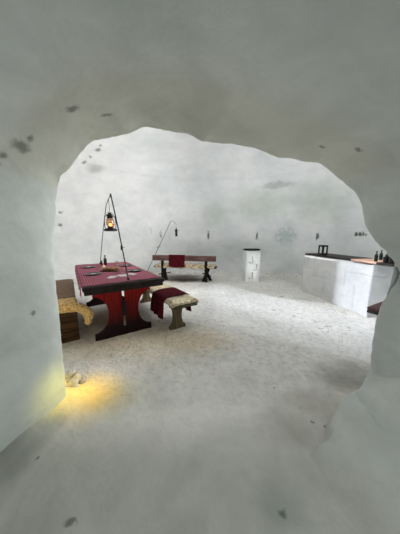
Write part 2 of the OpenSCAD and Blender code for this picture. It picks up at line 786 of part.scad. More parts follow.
ring_wall(0);  // wall_front_right
ring_wall(1);  // wall_right
ring_wall(2);  // wall_back_right
ring_wall(3);  // wall_back
ring_wall(4);  // wall_back_left
ring_wall(5);  // wall_left
ring_wall(6);  // wall_front_left
door_pier(-1);  // door_left_pier
door_pier(1);  // door_right_pier
door_lintel();
dome_crown();
passage_wall(-1);  // passage_left_wall
passage_wall(1);  // passage_right_wall
passage_vault();
snow_floor();
snow_bank();
bar_counter();
counter_board();
counter_ware();
pedestal();
pedestal_tray();
table_top();
table_trestles();
table_stretcher();
tablecloth();
table_ware();
lantern_stand();
table_lantern();
lantern_glass();
right_bench_seat();
right_bench_trestles();
right_sheepskin();
right_blanket();
left_bench();
left_hide();
left_sheepskin();
back_bench();
back_sheepskin();
back_blanket();
lantern_pole();
pole_lantern();
bar_stool();
stool_cover();
snow_lamp();
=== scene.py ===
import math

import bmesh
import bpy
import numpy as np
from mathutils import Matrix, Vector


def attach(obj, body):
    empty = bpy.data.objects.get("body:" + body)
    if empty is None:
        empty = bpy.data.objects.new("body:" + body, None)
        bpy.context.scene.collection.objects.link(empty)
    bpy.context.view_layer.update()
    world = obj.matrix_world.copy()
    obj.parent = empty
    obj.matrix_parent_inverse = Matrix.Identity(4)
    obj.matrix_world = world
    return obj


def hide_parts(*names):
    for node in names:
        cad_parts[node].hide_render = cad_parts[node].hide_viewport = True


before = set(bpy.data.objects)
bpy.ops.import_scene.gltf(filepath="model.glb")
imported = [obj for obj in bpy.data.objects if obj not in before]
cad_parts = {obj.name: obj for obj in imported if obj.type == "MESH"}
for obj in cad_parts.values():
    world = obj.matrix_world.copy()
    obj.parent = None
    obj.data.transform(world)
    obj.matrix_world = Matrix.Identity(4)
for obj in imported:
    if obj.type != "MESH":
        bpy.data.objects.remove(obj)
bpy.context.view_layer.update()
scene = bpy.context.scene
print("frame loaded")

# camera: it stands in the passage and looks a little down into the hall
cameraFacts = {"place": (-0.3, -4.2, 1.54), "down": 8.81, "lens": 36 * 200 / 534}
cameraData = bpy.data.cameras.new("camera")
cameraData.lens = cameraFacts["lens"]
cameraData.sensor_width = 36
cameraData.clip_start = 0.05
camera = bpy.data.objects.new("camera", cameraData)
camera.location = cameraFacts["place"]
camera.rotation_euler = (math.radians(90 - cameraFacts["down"]), 0, 0)
scene.collection.objects.link(camera)
scene.camera = camera
scene.view_settings.view_transform = "Standard"


def rgba(hexColour):  # sRGB hex to linear colour
    parts = [int(hexColour[i:i + 2], 16) / 255 for i in (1, 3, 5)]
    return (*[c / 12.92 if c <= 0.04045 else ((c + 0.055) / 1.055) ** 2.4 for c in parts], 1)


def feed(tree, target, inputs):  # sets a node's inputs, or links them to a socket or a node's first output
    for key, value in inputs.items():
        if isinstance(value, bpy.types.Node):
            value = value.outputs[0]
        if isinstance(value, bpy.types.NodeSocket):
            tree.links.new(value, target.inputs[key])
        else:
            target.inputs[key].default_value = value


def node(tree, kind, inputs=None, stops=None, **settings):  # adds a shader node with its settings and links
    made = tree.nodes.new("ShaderNode" + kind)
    for key, value in settings.items():
        setattr(made, key, value)
    feed(tree, made, inputs or {})
    if stops:
        ramp = made.color_ramp
        while len(ramp.elements) < len(stops):
            ramp.elements.new(0.5)
        for element, (place, colour) in zip(ramp.elements, stops):
            element.position = place
            element.color = rgba(colour)
    return made


def newMaterial(name, **sockets):
    material = bpy.data.materials.new(name)
    material.use_nodes = True
    tree = material.node_tree
    shader = tree.nodes["Principled BSDF"]
    feed(tree, shader, {key.replace("_", " "): value for key, value in sockets.items()})
    return material, tree, shader


def millimetres(size):  # texture scale for a pattern of this size, on objects in metres
    return 1000 / size


def smooth(t):
    t = np.clip(t, 0, 1)
    return t * t * (3 - 2 * t)


def mix(a, b, t):
    return a + (b - a) * t


def lattice(points, cell, seed):  # smooth noise from -1 to 1, the same at the same place in every piece
    q = np.asarray(points, float) / cell + seed * 7.31
    base = np.floor(q).astype(np.int64)
    f = q - base
    f = f * f * (3 - 2 * f)
    total = 0
    for dx in (0, 1):
        for dy in (0, 1):
            for dz in (0, 1):
                h = (base[..., 0] + dx) * 73856093 ^ (base[..., 1] + dy) * 19349663
                h = h ^ (base[..., 2] + dz) * 83492791 ^ seed * 40503
                h = ((h ^ (h >> 13)) * 1274126177) & 0xFFFFFFFF
                value = ((h ^ (h >> 16)) & 0xFFFF) / 32767.5 - 1
                share = (f[..., 0] if dx else 1 - f[..., 0]) * (f[..., 1] if dy else 1 - f[..., 1])
                total = total + value * share * (f[..., 2] if dz else 1 - f[..., 2])
    return total


def unit(v):
    return v / np.maximum(np.linalg.norm(v, axis=-1, keepdims=True), 1e-9)


def gridNormals(grid):
    return unit(np.cross(np.gradient(grid, axis=0), np.gradient(grid, axis=1)))


def quads(rows, cols, first=0, wrap=False, flip=False):
    i, j = np.meshgrid(np.arange(rows - 1), np.arange(cols if wrap else cols - 1), indexing="ij")
    k = (j + 1) % cols
    faces = np.stack([i * cols + j, i * cols + k, (i + 1) * cols + k, (i + 1) * cols + j], -1).reshape(-1, 4)
    return ((faces[:, ::-1] if flip else faces) + first).tolist()


def addPiece(name, part, material, place=((0, 0, 0), 0), replaced=(), wobble=0.0, index=None,
             normals=None, crease=38):
    # place is a spot and a turn in degrees, and edges sharper than crease degrees stay sharp
    points, faces = part
    points = np.asarray(points, float).reshape(-1, 3)
    if wobble:
        points = points + wobble * np.stack([lattice(points, 0.3, 41 + k) for k in range(3)], -1)
    mesh = bpy.data.meshes.new(name)
    mesh.from_pydata(points.tolist(), [], faces)
    for m in material if isinstance(material, list) else [material]:
        mesh.materials.append(m)
    if index is not None:
        mesh.polygons.foreach_set("material_index", np.array(index, np.int32))
    mesh.shade_smooth()
    if normals is not None:
        mesh.normals_split_custom_set_from_vertices(np.reshape(normals, (-1, 3)).tolist())
    elif crease:
        mesh.set_sharp_from_angle(angle=math.radians(crease))
    piece = bpy.data.objects.new(name, mesh)
    piece.location = place[0]
    piece.rotation_euler = (0, 0, math.radians(place[1]))
    scene.collection.objects.link(piece)
    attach(piece, "root")
    if replaced:
        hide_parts(*replaced)
    return piece


# snow materials
softRange = {"interpolation_type": "SMOOTHSTEP"}
blended = {"data_type": "RGBA", "blend_type": "MIX"}
darkened = {"data_type": "RGBA", "blend_type": "MULTIPLY"}
times = {"operation": "MULTIPLY"}


# 1 at the spots and 0 away from them, with ragged edges
def spotMask(tree, where, spots, outer, inner, cell=45):
    ragged = node(tree, "TexNoise", {"Vector": where, "Scale": millimetres(cell), "Detail": 3.0})
    wander = node(tree, "VectorMath", {0: ragged.outputs["Color"], 1: [cell / 900] * 3}, **times)
    shifted = node(tree, "VectorMath", {0: where, 1: wander}, operation="ADD")
    nearest = None
    for place, size in spots:
        off = node(tree, "VectorMath", {0: shifted, 1: [c + cell / 1800 for c in place]},
                   operation="SUBTRACT")
        scaled = node(tree, "VectorMath", {0: off, 1: size}, operation="DIVIDE")
        reach = node(tree, "VectorMath", {0: scaled}, operation="LENGTH").outputs["Value"]
        if nearest is not None:
            reach = node(tree, "Math", {0: nearest, 1: reach}, operation="MINIMUM")
        nearest = reach
    return node(tree, "MapRange", {"Value": nearest, "From Min": outer, "From Max": inner}, **softRange)


def packedSnow(name, light, hollow, clump, depth, passageShadeTones=None, pits=(), streaks=0.5, grazingLightTint=None,
               fleck=0.0, patches=(), footShade=None, slots=(), holeShadeTone="#565b50"):
    # compacted snow cut with a shovel: matt, faintly blue in its hollows, with a soft clumped skin
    material, tree, shader = newMaterial(name, Roughness=0.85, IOR=1.31)
    where = node(tree, "TexCoord").outputs["Object"]
    parts = node(tree, "SeparateXYZ", {"Vector": where})
    y, z = parts.outputs["Y"], parts.outputs["Z"]
    broad = node(tree, "TexNoise", {"Vector": where, "Scale": millimetres(900), "Detail": 5.0})
    colour = node(tree, "ValToRGB", {"Fac": broad}, [(0.32, hollow), (0.62, light)])
    if passageShadeTones:  # greyer in the passage than in the hall: partly trodden snow, partly painted shade
        shadedTone = node(tree, "ValToRGB", {"Fac": broad}, [(0.32, passageShadeTones[1]), (0.62, passageShadeTones[0])])
        inHall = node(tree, "MapRange", {"Value": y, "From Min": -3.25, "From Max": -2.85}, **softRange)
        colour = node(tree, "Mix", {0: inHall, 6: shadedTone, 7: colour}, **blended).outputs[2]
    # soft blotches left by the shovel, about 350 mm long and 200 mm high
    streakAt = node(tree, "Mapping", {"Vector": where, "Scale": [millimetres(350)] * 2 + [millimetres(200)]})
    streak = node(tree, "TexNoise", {"Vector": streakAt, "Scale": 1.0, "Detail": 7.0, "Roughness": 0.6,
                                     "Distortion": 0.6})
    faint = node(tree, "MapRange", {"Value": streak, "From Min": 0.34, "From Max": 0.62,
                                    "To Min": 1 - 0.22 * streaks, "To Max": 1.0})
    colour = node(tree, "Mix", {0: 1.0, 6: colour, 7: faint}, **darkened).outputs[2]
    if grazingLightTint:  # a faint warm tint in one zone, painted light from the hall grazing the rim: colour, limits in y and z
        tone, (yFrom, yTo), (zFrom, zTo) = grazingLightTint
        inY = node(tree, "MapRange", {"Value": y, "From Min": yFrom, "From Max": yTo}, **softRange)
        inZ = node(tree, "MapRange", {"Value": z, "From Min": zFrom, "From Max": zTo}, **softRange)
        both = node(tree, "Math", {0: inY, 1: inZ}, **times)
        colour = node(tree, "Mix", {0: both, 6: colour, 7: rgba(tone)}, **darkened).outputs[2]
    if footShade:  # greyer towards the floor: painted shade at the foot
        rising = node(tree, "MapRange", {"Value": z, "From Min": 0.34, "From Max": 0.215}, **softRange)
        colour = node(tree, "Mix", {0: rising, 6: colour, 7: rgba(footShade)}, **darkened).outputs[2]
    height = node(tree, "TexNoise", {"Vector": where, "Scale": millimetres(clump), "Detail": 3.0})
    if fleck:  # bright crumbs and grey-brown flecks, mostly in the hall: painted highlights and painted shade of the trodden snow's bumps
        crumbs = node(tree, "TexNoise", {"Vector": where, "Scale": millimetres(70), "Detail": 6.0,
                                         "Roughness": 0.7})
        fleckShadeAndHighlight = node(tree, "ValToRGB", {"Fac": crumbs},
                    [(0.31, "#b6b1a7"), (0.47, "#efeeea"), (0.6, "#ffffff")])
        amount = node(tree, "MapRange", {"Value": y, "From Min": -3.1, "From Max": -2.2,
                                         "To Min": 0.1 * fleck, "To Max": fleck})
        colour = node(tree, "Mix", {0: amount, 6: colour, 7: fleckShadeAndHighlight}, **darkened).outputs[2]
        # darker lines along broken cracks between trodden cakes of snow, about 300 mm apart: painted shade in
        # the cracks
        cakes = node(tree, "TexNoise", {"Vector": where, "Scale": millimetres(300), "Detail": 5.0,
                                        "Distortion": 0.7})
        crack = node(tree, "MapRange", {"Value": cakes, "From Min": 0.485, "From Max": 0.5})
        back = node(tree, "MapRange", {"Value": cakes, "From Min": 0.52, "From Max": 0.505})
        broken = node(tree, "MapRange", {"Value": streak, "From Min": 0.52, "From Max": 0.62})
        inHall = node(tree, "MapRange", {"Value": y, "From Min": -2.2, "From Max": -1.4, "To Min": 0.12,
                                         "To Max": 0.75})
        for share in (back, broken, inHall):
            crack = node(tree, "Math", {0: crack, 1: share}, **times)
        colour = node(tree, "Mix", {0: crack, 6: colour, 7: rgba("#9c9184")}, **darkened).outputs[2]
    for tone, spots in patches:  # wide soft patches that darken or tint: painted shade, painted lamplight and plain tints, as listed
        patchMask = spotMask(tree, where, spots, 1.2, 0.2, 200)
        colour = node(tree, "Mix", {0: patchMask, 6: colour, 7: rgba(tone)}, **darkened).outputs[2]
    # painted shade in the pits and in the slots' recesses
    for spots, outer, inner, cell, most in ((pits, 1.3, 0.3, 45, 0.7), (slots, 1.0, 0.75, 8, 0.75)):
        if spots:
            share = node(tree, "Math", {0: spotMask(tree, where, spots, outer, inner, cell), 1: most},
                         **times)
            colour = node(tree, "Mix", {0: share, 6: colour, 7: rgba(holeShadeTone)}, **blended).outputs[2]
    grain = node(tree, "TexNoise", {"Vector": where, "Scale": millimetres(9), "Detail": 2.0})
    wide = node(tree, "Bump", {"Height": height, "Distance": depth, "Strength": 0.6})
    if fleck:  # trodden smoother in the passage
        rougher = node(tree, "MapRange", {"Value": y, "From Min": -3.0, "From Max": -2.0, "To Min": 0.2,
                                          "To Max": 0.6})
        feed(tree, wide, {"Strength": rougher})
    fine = node(tree, "Bump", {"Height": grain, "Distance": 0.002, "Strength": 0.35, "Normal": wide})
    feed(tree, shader, {"Base Color": colour, "Normal": fine})
    return material


hallPits = [((-2.49, 0.43, 3.37), (0.07, 0.06, 0.06)), ((-2.40, 0.35, 3.43), (0.04, 0.04, 0.04)),
            ((-2.86, 0.54, 3.15), (0.09, 0.04, 0.05)), ((-2.70, 0.50, 3.25), (0.03, 0.05, 0.04)),
            ((-3.89, 1.04, 1.82), (0.05, 0.07, 0.05)), ((-3.80, 0.94, 2.13), (0.05, 0.06, 0.05)),
            ((-1.62, 2.62, 1.55), (0.025, 0.1, 0.07))]
hallSlots = [((-0.01, 2.85, 1.55), (0.036, 0.15, 0.125)), ((1.62, 2.66, 1.54), (0.036, 0.15, 0.125)),
             ((3.24, 1.93, 1.53), (0.04, 0.12, 0.11)), ((3.89, 1.24, 1.585), (0.03, 0.08, 0.06)),
             ((3.945, 1.16, 1.585), (0.03, 0.08, 0.06)), ((4.0, 1.08, 1.585), (0.03, 0.08, 0.06))]
# patches: #e6ebe4 painted shade on the upper right and back walls, #d6d8d6 greyer patches high on the wall,
# #eceeec painted shade low on the back wall, #e2eae8 a faint bluish tint on the star
hallShadeAndTints = [("#e6ebe4", [((1.5, 2.2, 2.5), (1.2, 0.8, 0.55)), ((2.9, 1.5, 2.4), (0.9, 0.8, 0.7)),
                           ((0.2, 2.7, 2.3), (0.5, 0.5, 0.5))]),
              ("#d6d8d6", [((-2.75, 0.8, 3.08), (0.25, 0.25, 0.14)), ((1.9, 1.7, 2.95), (0.6, 0.4, 0.1))]),
              ("#eceeec", [((0.6, 2.8, 1.0), (2.6, 0.9, 0.5))]),
              ("#e2eae8", [((2.45, 2.3, 1.52), (0.36, 0.36, 0.34))])]
doorPits = [((-1.33, -2.955, 2.05), (0.05, 0.075, 0.032)), ((-1.285, -2.935, 2.10), (0.03, 0.025, 0.03)),
            ((-1.375, -3.035, 1.972), (0.03, 0.035, 0.022)), ((-1.39, -3.05, 1.925), (0.02, 0.03, 0.014)),
            ((-1.063, -2.877, 2.288), (0.05, 0.03, 0.03)), ((-0.92, -2.73, 2.336), (0.045, 0.02, 0.03)),
            ((-1.405, -2.944, 1.039), (0.03, 0.018, 0.018)), ((0.612, -2.963, 2.028), (0.035, 0.02, 0.02)),
            ((0.467, -2.852, 2.089), (0.03, 0.015, 0.02))]
wallSnow = packedSnow("packed snow, shovel-cut wall", "#eeefef", "#dde1e1", 90, 0.012, pits=hallPits,
                      streaks=0.4, patches=hallShadeAndTints, slots=hallSlots)
# the doorway and passage snow is the same snow painted greyer: painted shade for the dim passage
shadedDoorSnow = packedSnow("packed snow, doorway, painted shade", "#d6dbd8", "#c4cac7", 120, 0.016, pits=doorPits,
                      streaks=0.6, grazingLightTint=("#fbf7ee", (-3.2, -2.95), (1.86, 1.96)))
# patches: #f6e9d4 warm painted shade round the table and near bench, #c6c7c2 painted shadow in the bank's
# lee, #e4e3df painted shade behind the bank's lip, #e2e9e7 painted shade round a pit, #ccd0cd painted shade
# at the left jamb's foot, #fff2b4 the snow lamp's painted pool of light, #6a5c50 painted shadow under the
# table and the back bench, #837e7b painted shadow behind the back bench
floorShadeAndLight = [("#f6e9d4", [((-1.3, -1.7, 0.2), (1.3, 0.7, 0.6)), ((-0.5, -1.8, 0.2), (0.8, 0.4, 0.5))]),
               ("#c6c7c2", [((1.2, -2.46, 0.2), (0.5, 0.32, 0.5))]),
               ("#e4e3df", [((1.0, -2.6, 0.2), (0.3, 0.25, 0.5)), ((0.62, -2.82, 0.2), (0.4, 0.24, 0.5)),
                            ((0.34, -2.96, 0.2), (0.28, 0.18, 0.5))]),
               ("#e2e9e7", [((0.10, -3.42, 0.2), (0.16, 0.13, 0.5))]),
               ("#ccd0cd", [((-1.40, -2.98, 0.2), (0.14, 0.18, 0.5)),
                            ((-1.41, -3.22, 0.2), (0.13, 0.28, 0.5))]),
               ("#fff2b4", [((-1.28, -2.70, 0.2), (0.50, 0.30, 0.5))]),
               ("#6a5c50", [((-1.8, -1.05, 0.2), (0.75, 0.9, 0.5)), ((-0.75, 1.75, 0.2), (0.9, 0.35, 0.5))]),
               ("#837e7b", [((-0.92, 2.2, 0.2), (1.05, 0.6, 0.5))])]
floorPits = [((0.10, -3.426, 0.21), (0.024, 0.018, 0.1)), ((-0.904, -3.459, 0.21), (0.034, 0.013, 0.1)),
             ((-1.272, -3.193, 0.21), (0.01, 0.01, 0.1)), ((0.352, -2.625, 0.21), (0.014, 0.012, 0.1)),
             ((0.515, -2.947, 0.21), (0.014, 0.011, 0.1)), ((0.583, -2.977, 0.21), (0.018, 0.012, 0.1))]
floorSnow = packedSnow("packed snow, trodden floor", "#fbf9f4", "#eeebe4", 35, 0.04, ("#d6d6cf", "#c1c0b8"),
                       streaks=0.7, patches=floorShadeAndLight, fleck=0.6, pits=floorPits)
outerSnow = packedSnow("wind-packed snow, outside", "#e6ebed", "#d5dde0", 260, 0.07, streaks=0.6)

# snow hall: the same oval dome as the solids, in metres
hall = {
    "halfLength": 4.5, "halfWidth": 2.9, "height": 3.6, "wallBase": 1.05, "crown": 0.5, "power": 2.4,
    "ringTop": 3.15, "floorTop": 0.2, "bayLeft": 236.0, "bayRight": 299.0,
}


def domeShare(z, height):
    t = np.clip((z - hall["floorTop"]) / height, 0, 1)
    return np.maximum(1 - t ** hall["power"], 0) ** (1 / hall["power"])


def domeSizes(outer):
    wall, crown = (hall["wallBase"], hall["crown"]) if outer else (0, 0)
    return hall["halfLength"] + wall, hall["halfWidth"] + wall, hall["height"] + crown


def domePoint(angle, z, outer=False):
    a, b, height = domeSizes(outer)
    angle = np.radians(angle)
    reach = a * b / np.hypot(b * np.cos(angle), a * np.sin(angle)) * domeShare(z, height)
    return np.stack([reach * np.cos(angle), reach * np.sin(angle), z + 0 * reach], -1)


def domeY(x, z, outer=False):
    a, b, height = domeSizes(outer)
    return -b * np.sqrt(np.maximum(domeShare(z, height) ** 2 - (x / a) ** 2, 0))


def domeNormal(p, outer=False):
    a, b, height = domeSizes(outer)
    s = np.sqrt((p[..., 0] / a) ** 2 + (p[..., 1] / b) ** 2)
    t = np.clip((p[..., 2] - hall["floorTop"]) / height, 0, 1)
    k = np.maximum(s, 1e-3) ** (hall["power"] - 2)
    return unit(np.stack([k * p[..., 0] / a ** 2, k * p[..., 1] / b ** 2, t ** (hall["power"] - 1) / height],
                         -1))


def snowRelief(p):  # how far the cut snow stands back from the even surface
    rough = 0.3 + 0.7 * smooth((p[..., 1] + 3.1) / 0.6)
    return (0.024 * lattice(p, 1.5, 1) + 0.011 * lattice(p, 0.55, 2) * rough
            + 0.005 * lattice(p, 0.2, 3) * rough + 0.0022 * lattice(p, 0.08, 4) * rough)


# cuts in the wall: place, half width, half height, depth
wallCuts = [
    ((-0.01, 2.78, 1.55), 0.035, 0.14, 0.07), ((1.62, 2.59, 1.54), 0.035, 0.14, 0.07),
    ((3.22, 1.87, 1.53), 0.035, 0.13, 0.07), ((-1.62, 2.58, 1.55), 0.035, 0.12, 0.05),
    ((-1.93, 2.45, 1.72), 0.03, 0.11, 0.04), ((-3.93, 1.05, 1.73), 0.06, 0.08, 0.015),
    ((-3.78, 0.94, 2.13), 0.05, 0.05, 0.01), ((3.87, 1.22, 1.59), 0.022, 0.05, 0.06),
    ((3.91, 1.155, 1.59), 0.022, 0.05, 0.06), ((3.95, 1.09, 1.59), 0.022, 0.05, 0.06),
]
starCut = {"place": (2.45, 2.3, 1.52), "reach": 0.28, "arm": 0.045, "depth": 0.03, "twigAt": 0.17,
           "twigSlant": 0.9, "twigReach": 0.08}


def wallRelief(p):
    deep = snowRelief(p)
    for place, halfWidth, halfHeight, depth in wallCuts:
        aside = np.hypot(p[..., 0] - place[0], p[..., 1] - place[1]) / halfWidth
        up = np.abs(p[..., 2] - place[2]) / halfHeight
        deep = deep + depth * (1 - smooth((np.maximum(aside, up) - 0.75) / 0.5))
    # a plain six-armed star
    place = starCut["place"]
    along = unit(np.array([place[1] / hall["halfWidth"] ** 2, -place[0] / hall["halfLength"] ** 2]))
    u = (p[..., 0] - place[0]) * along[0] + (p[..., 1] - place[1]) * along[1]
    v = p[..., 2] - place[2]
    r, turn = np.hypot(u, v), np.arctan2(v, u)
    fold = np.abs((turn / (math.pi / 3) + 0.5) % 1 - 0.5) * (math.pi / 3)
    fromArm = r * np.sin(fold)
    twig = np.abs(np.abs(r * np.cos(fold) - starCut["twigAt"]) - starCut["twigSlant"] * fromArm)
    twig = twig + 10 * (fromArm > starCut["twigReach"])
    groove = 1 - smooth((np.minimum(fromArm, twig) - starCut["arm"] * 0.5) / starCut["arm"])
    near = (p[..., 1] > 0) * (1 - smooth((r - starCut["reach"]) / 0.03))
    return deep + starCut["depth"] * groove * near


def innerWall(angle, z):
    p = domePoint(angle, z)
    grounded = smooth((p[..., 2] - 0.02) / 0.15)[..., None]
    return p + domeNormal(p) * wallRelief(p)[..., None] * grounded


def snowDrift(p):  # how far the wind-packed outside stands in from the even surface
    return -0.03 - 0.028 * lattice(p, 1.3, 11) - 0.006 * lattice(p, 0.4, 12)


def outerWall(angle, z):
    p = domePoint(angle, z, True)
    drift = snowDrift(p)
    grounded = smooth((p[..., 2] - 0.02) / 0.25)[..., None]
    side = domeNormal(p, True) * drift[..., None]
    return p + np.concatenate([side[..., :2], side[..., 2:] * grounded], -1)


def surfaceNormals(surface, angle, z, sign):
    step = 0.15
    across = surface(angle + step, z) - surface(angle - step, z)
    up = surface(angle, z + 0.01) - surface(angle, np.maximum(z - 0.01, 0))
    return unit(np.cross(across, up)) * sign


def steps(start, end, size):
    return np.linspace(start, end, max(2, int(round(abs(end - start) / size)) + 1))


# places from the first mark to the last: mark, step size, mark, step size, mark and so on
def stepped(*marks):
    runs = [steps(start, end, size)[:-1] for start, size, end in zip(marks[::2], marks[1::2], marks[2::2])]
    return np.concatenate(runs + [marks[-1:]])


# degrees round the hall, finer where cuts are
wallAngles = stepped(299, 0.6, 374.5, 0.25, 378.5, 0.6, 388.5, 0.3, 391.5, 0.6, 398.5, 0.22, 408, 0.6, 416.5,
                     0.3, 419.5, 0.6, 448.5, 0.3, 452, 0.6, 480, 0.4, 490, 0.6, 522, 0.3, 528, 0.6, 596)
wallRows = np.concatenate([[0, 0.12], steps(0.2, 1.2, 0.05), steps(1.22, 1.82, 0.018),
                           steps(1.87, 3.15, 0.055)])
outerRows = steps(0, 3.15, 0.13)


def buildHallWall():
    angle, z = np.meshgrid(wallAngles, wallRows)
    inner, innerN = innerWall(angle, z), surfaceNormals(innerWall, angle, z, -1)
    angle, z = np.meshgrid(wallAngles, outerRows)
    outer, outerN = outerWall(angle, z), surfaceNormals(outerWall, angle, z, 1)
    rows, cols = inner.shape[:2]
    outerCount, first = outer.shape[0], rows * cols
    faces = quads(rows, cols, flip=True) + quads(outerCount, cols, first)
    last, top = cols - 1, (rows - 1) * cols
    outerTop = first + (outerCount - 1) * cols
    for j in range(cols - 1):
        faces.append([j, j + 1, first + j + 1, first + j])
        faces.append([top + j + 1, top + j, outerTop + j, outerTop + j + 1])
    faces.append([i * cols for i in range(rows)][::-1] + [first + i * cols for i in range(outerCount)])
    faces.append([i * cols + last for i in range(rows)]
                 + [first + i * cols + last for i in range(outerCount)][::-1])
    inside = (rows - 1) * (cols - 1)
    addPiece("hall_wall", (np.concatenate([inner.reshape(-1, 3), outer.reshape(-1, 3)]), faces),
             [wallSnow, outerSnow], replaced=[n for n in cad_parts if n.startswith("wall_")],
             index=[0] * inside + [1] * (len(faces) - inside),
             normals=np.concatenate([innerN.reshape(-1, 3), outerN.reshape(-1, 3)]))


def buildCrown():
    angles = np.arange(0, 360, 1.2)
    lowest = hall["ringTop"] - 0.02  # its first rows are tucked behind the wall's top edge
    innerCount, outerCount = 34, 30
    parts, faces, first = [], [], 0
    for outer, surface, count in ((False, innerWall, innerCount), (True, outerWall, outerCount)):
        height = domeSizes(outer)[2]
        shares = domeShare(lowest, height) * np.linspace(1, 0, count + 1)[:-1]
        levels = hall["floorTop"] + height * (1 - shares ** hall["power"]) ** (1 / hall["power"])
        angle, z = np.meshgrid(angles, levels)
        grid = surface(angle, z)
        tuck = 0.004 * (1 - smooth((z - lowest) / 0.25))
        grid = grid + domeNormal(grid, outer) * (-tuck if outer else tuck)[..., None]
        tip = surface(np.array([0.0]), np.array([hall["floorTop"] + height - 1e-6]))
        rows, cols = grid.shape[:2]
        faces += quads(rows, cols, first, wrap=True, flip=not outer)
        top, peak = first + (rows - 1) * cols, first + rows * cols
        for j in range(cols):
            k = (j + 1) % cols
            faces.append([top + j, top + k, peak] if outer else [top + k, top + j, peak])
        parts += [grid.reshape(-1, 3), tip]
        first += rows * cols + 1
    outerFirst = len(parts[0]) + 1
    for j in range(len(angles)):
        k = (j + 1) % len(angles)
        faces.append([j, k, outerFirst + k, outerFirst + j])
    inside = (innerCount - 1) * len(angles)
    addPiece("hall_crown", (np.concatenate(parts), faces), [wallSnow, outerSnow], replaced=["dome_crown"],
             index=[0] * inside + [1] * (len(faces) - inside), crease=0)


buildHallWall()
buildCrown()
print("hall wall and crown made")

# doorway and passage: one skin from the hall's face through the opening to the outside and back
# the hand-cut rim, x and z, from the left foot over the arch to the right foot
rimLine = [
    (-1.366, 0), (-1.366, 0.192), (-1.361, 0.273), (-1.363, 0.351), (-1.357, 0.545), (-1.364, 0.76),
    (-1.365, 0.921), (-1.376, 1.07), (-1.39, 1.187), (-1.409, 1.334), (-1.423, 1.473), (-1.424, 1.622),
    (-1.42, 1.735), (-1.422, 1.844), (-1.428, 1.94), (-1.436, 1.989), (-1.409, 2.02), (-1.366, 2.067),
    (-1.306, 2.138), (-1.251, 2.229), (-1.193, 2.301), (-1.126, 2.321), (-1.055, 2.313), (-0.989, 2.325),
    (-0.924, 2.337), (-0.858, 2.336), (-0.798, 2.387), (-0.735, 2.4), (-0.669, 2.376), (-0.605, 2.362),
    (-0.542, 2.345), (-0.48, 2.319), (-0.42, 2.321), (-0.359, 2.288), (-0.3, 2.24), (-0.242, 2.23),
    (-0.183, 2.225), (-0.125, 2.22), (-0.068, 2.211), (-0.01, 2.203), (0.047, 2.191), (0.104, 2.171),
    (0.161, 2.152), (0.216, 2.125), (0.273, 2.102), (0.331, 2.096), (0.39, 2.097), (0.448, 2.087),
    (0.506, 2.074), (0.569, 2.091), (0.625, 2.047), (0.679, 1.995), (0.734, 1.945), (0.791, 1.895),
    (0.827, 1.866), (0.864, 1.816), (0.878, 1.766), (0.886, 1.723), (0.884, 1.666), (0.902, 1.596),
    (0.935, 1.53), (0.977, 1.494), (1.03, 1.452), (1.115, 1.345), (1.18, 1.287), (1.155, 1.222),
    (1.085, 1.163), (1.045, 1.1), (0.995, 1.022), (0.968, 0.952), (0.961, 0.85), (0.955, 0.732),
    (0.962, 0.64), (0.972, 0.457), (0.95, 0.2), (0.95, 0),
]
passage = {
    "meet": -4.0, "mouth": -5.6, "middle": -0.17, "heapHalf": 1.82, "heapTop": 2.9, "heapPower": 2.6,
    "flare": 0.08, "flareFrom": 2.9, "flareReach": 2.7, "lip": 0.1, "fillet": -4.5, "widen": 0.07,
    "leftWall": -1.41, "rightWall": 0.99,
}


def flared(x, y):  # the passage widens towards its mouth
    wide = 1 + passage["flare"] * np.maximum(0, -y - passage["flareFrom"]) / passage["flareReach"]
    return passage["middle"] + (x - passage["middle"]) * wide


def alongLine(line, count):
    line = np.array(line, float)
    lengths = np.concatenate([[0], np.cumsum(np.linalg.norm(np.diff(line, axis=0), axis=1))])
    at = np.linspace(0, lengths[-1], count)
    return np.stack([np.interp(at, lengths, line[:, k]) for k in range(line.shape[1])], -1)


def softened(line, reach):  # moving average whose ends stay put
    kernel = np.exp(-0.5 * (np.arange(-3 * reach, 3 * reach + 1) / reach) ** 2)
    kernel /= kernel.sum()
    edge = 3 * reach
    before = 2 * line[0] - line[1:edge + 1][::-1]
    after = 2 * line[-1] - line[-edge - 1:-1][::-1]
    padded = np.concatenate([before, line, after])
    return np.stack([np.convolve(padded[:, k], kernel, "valid") for k in range(line.shape[1])], -1)


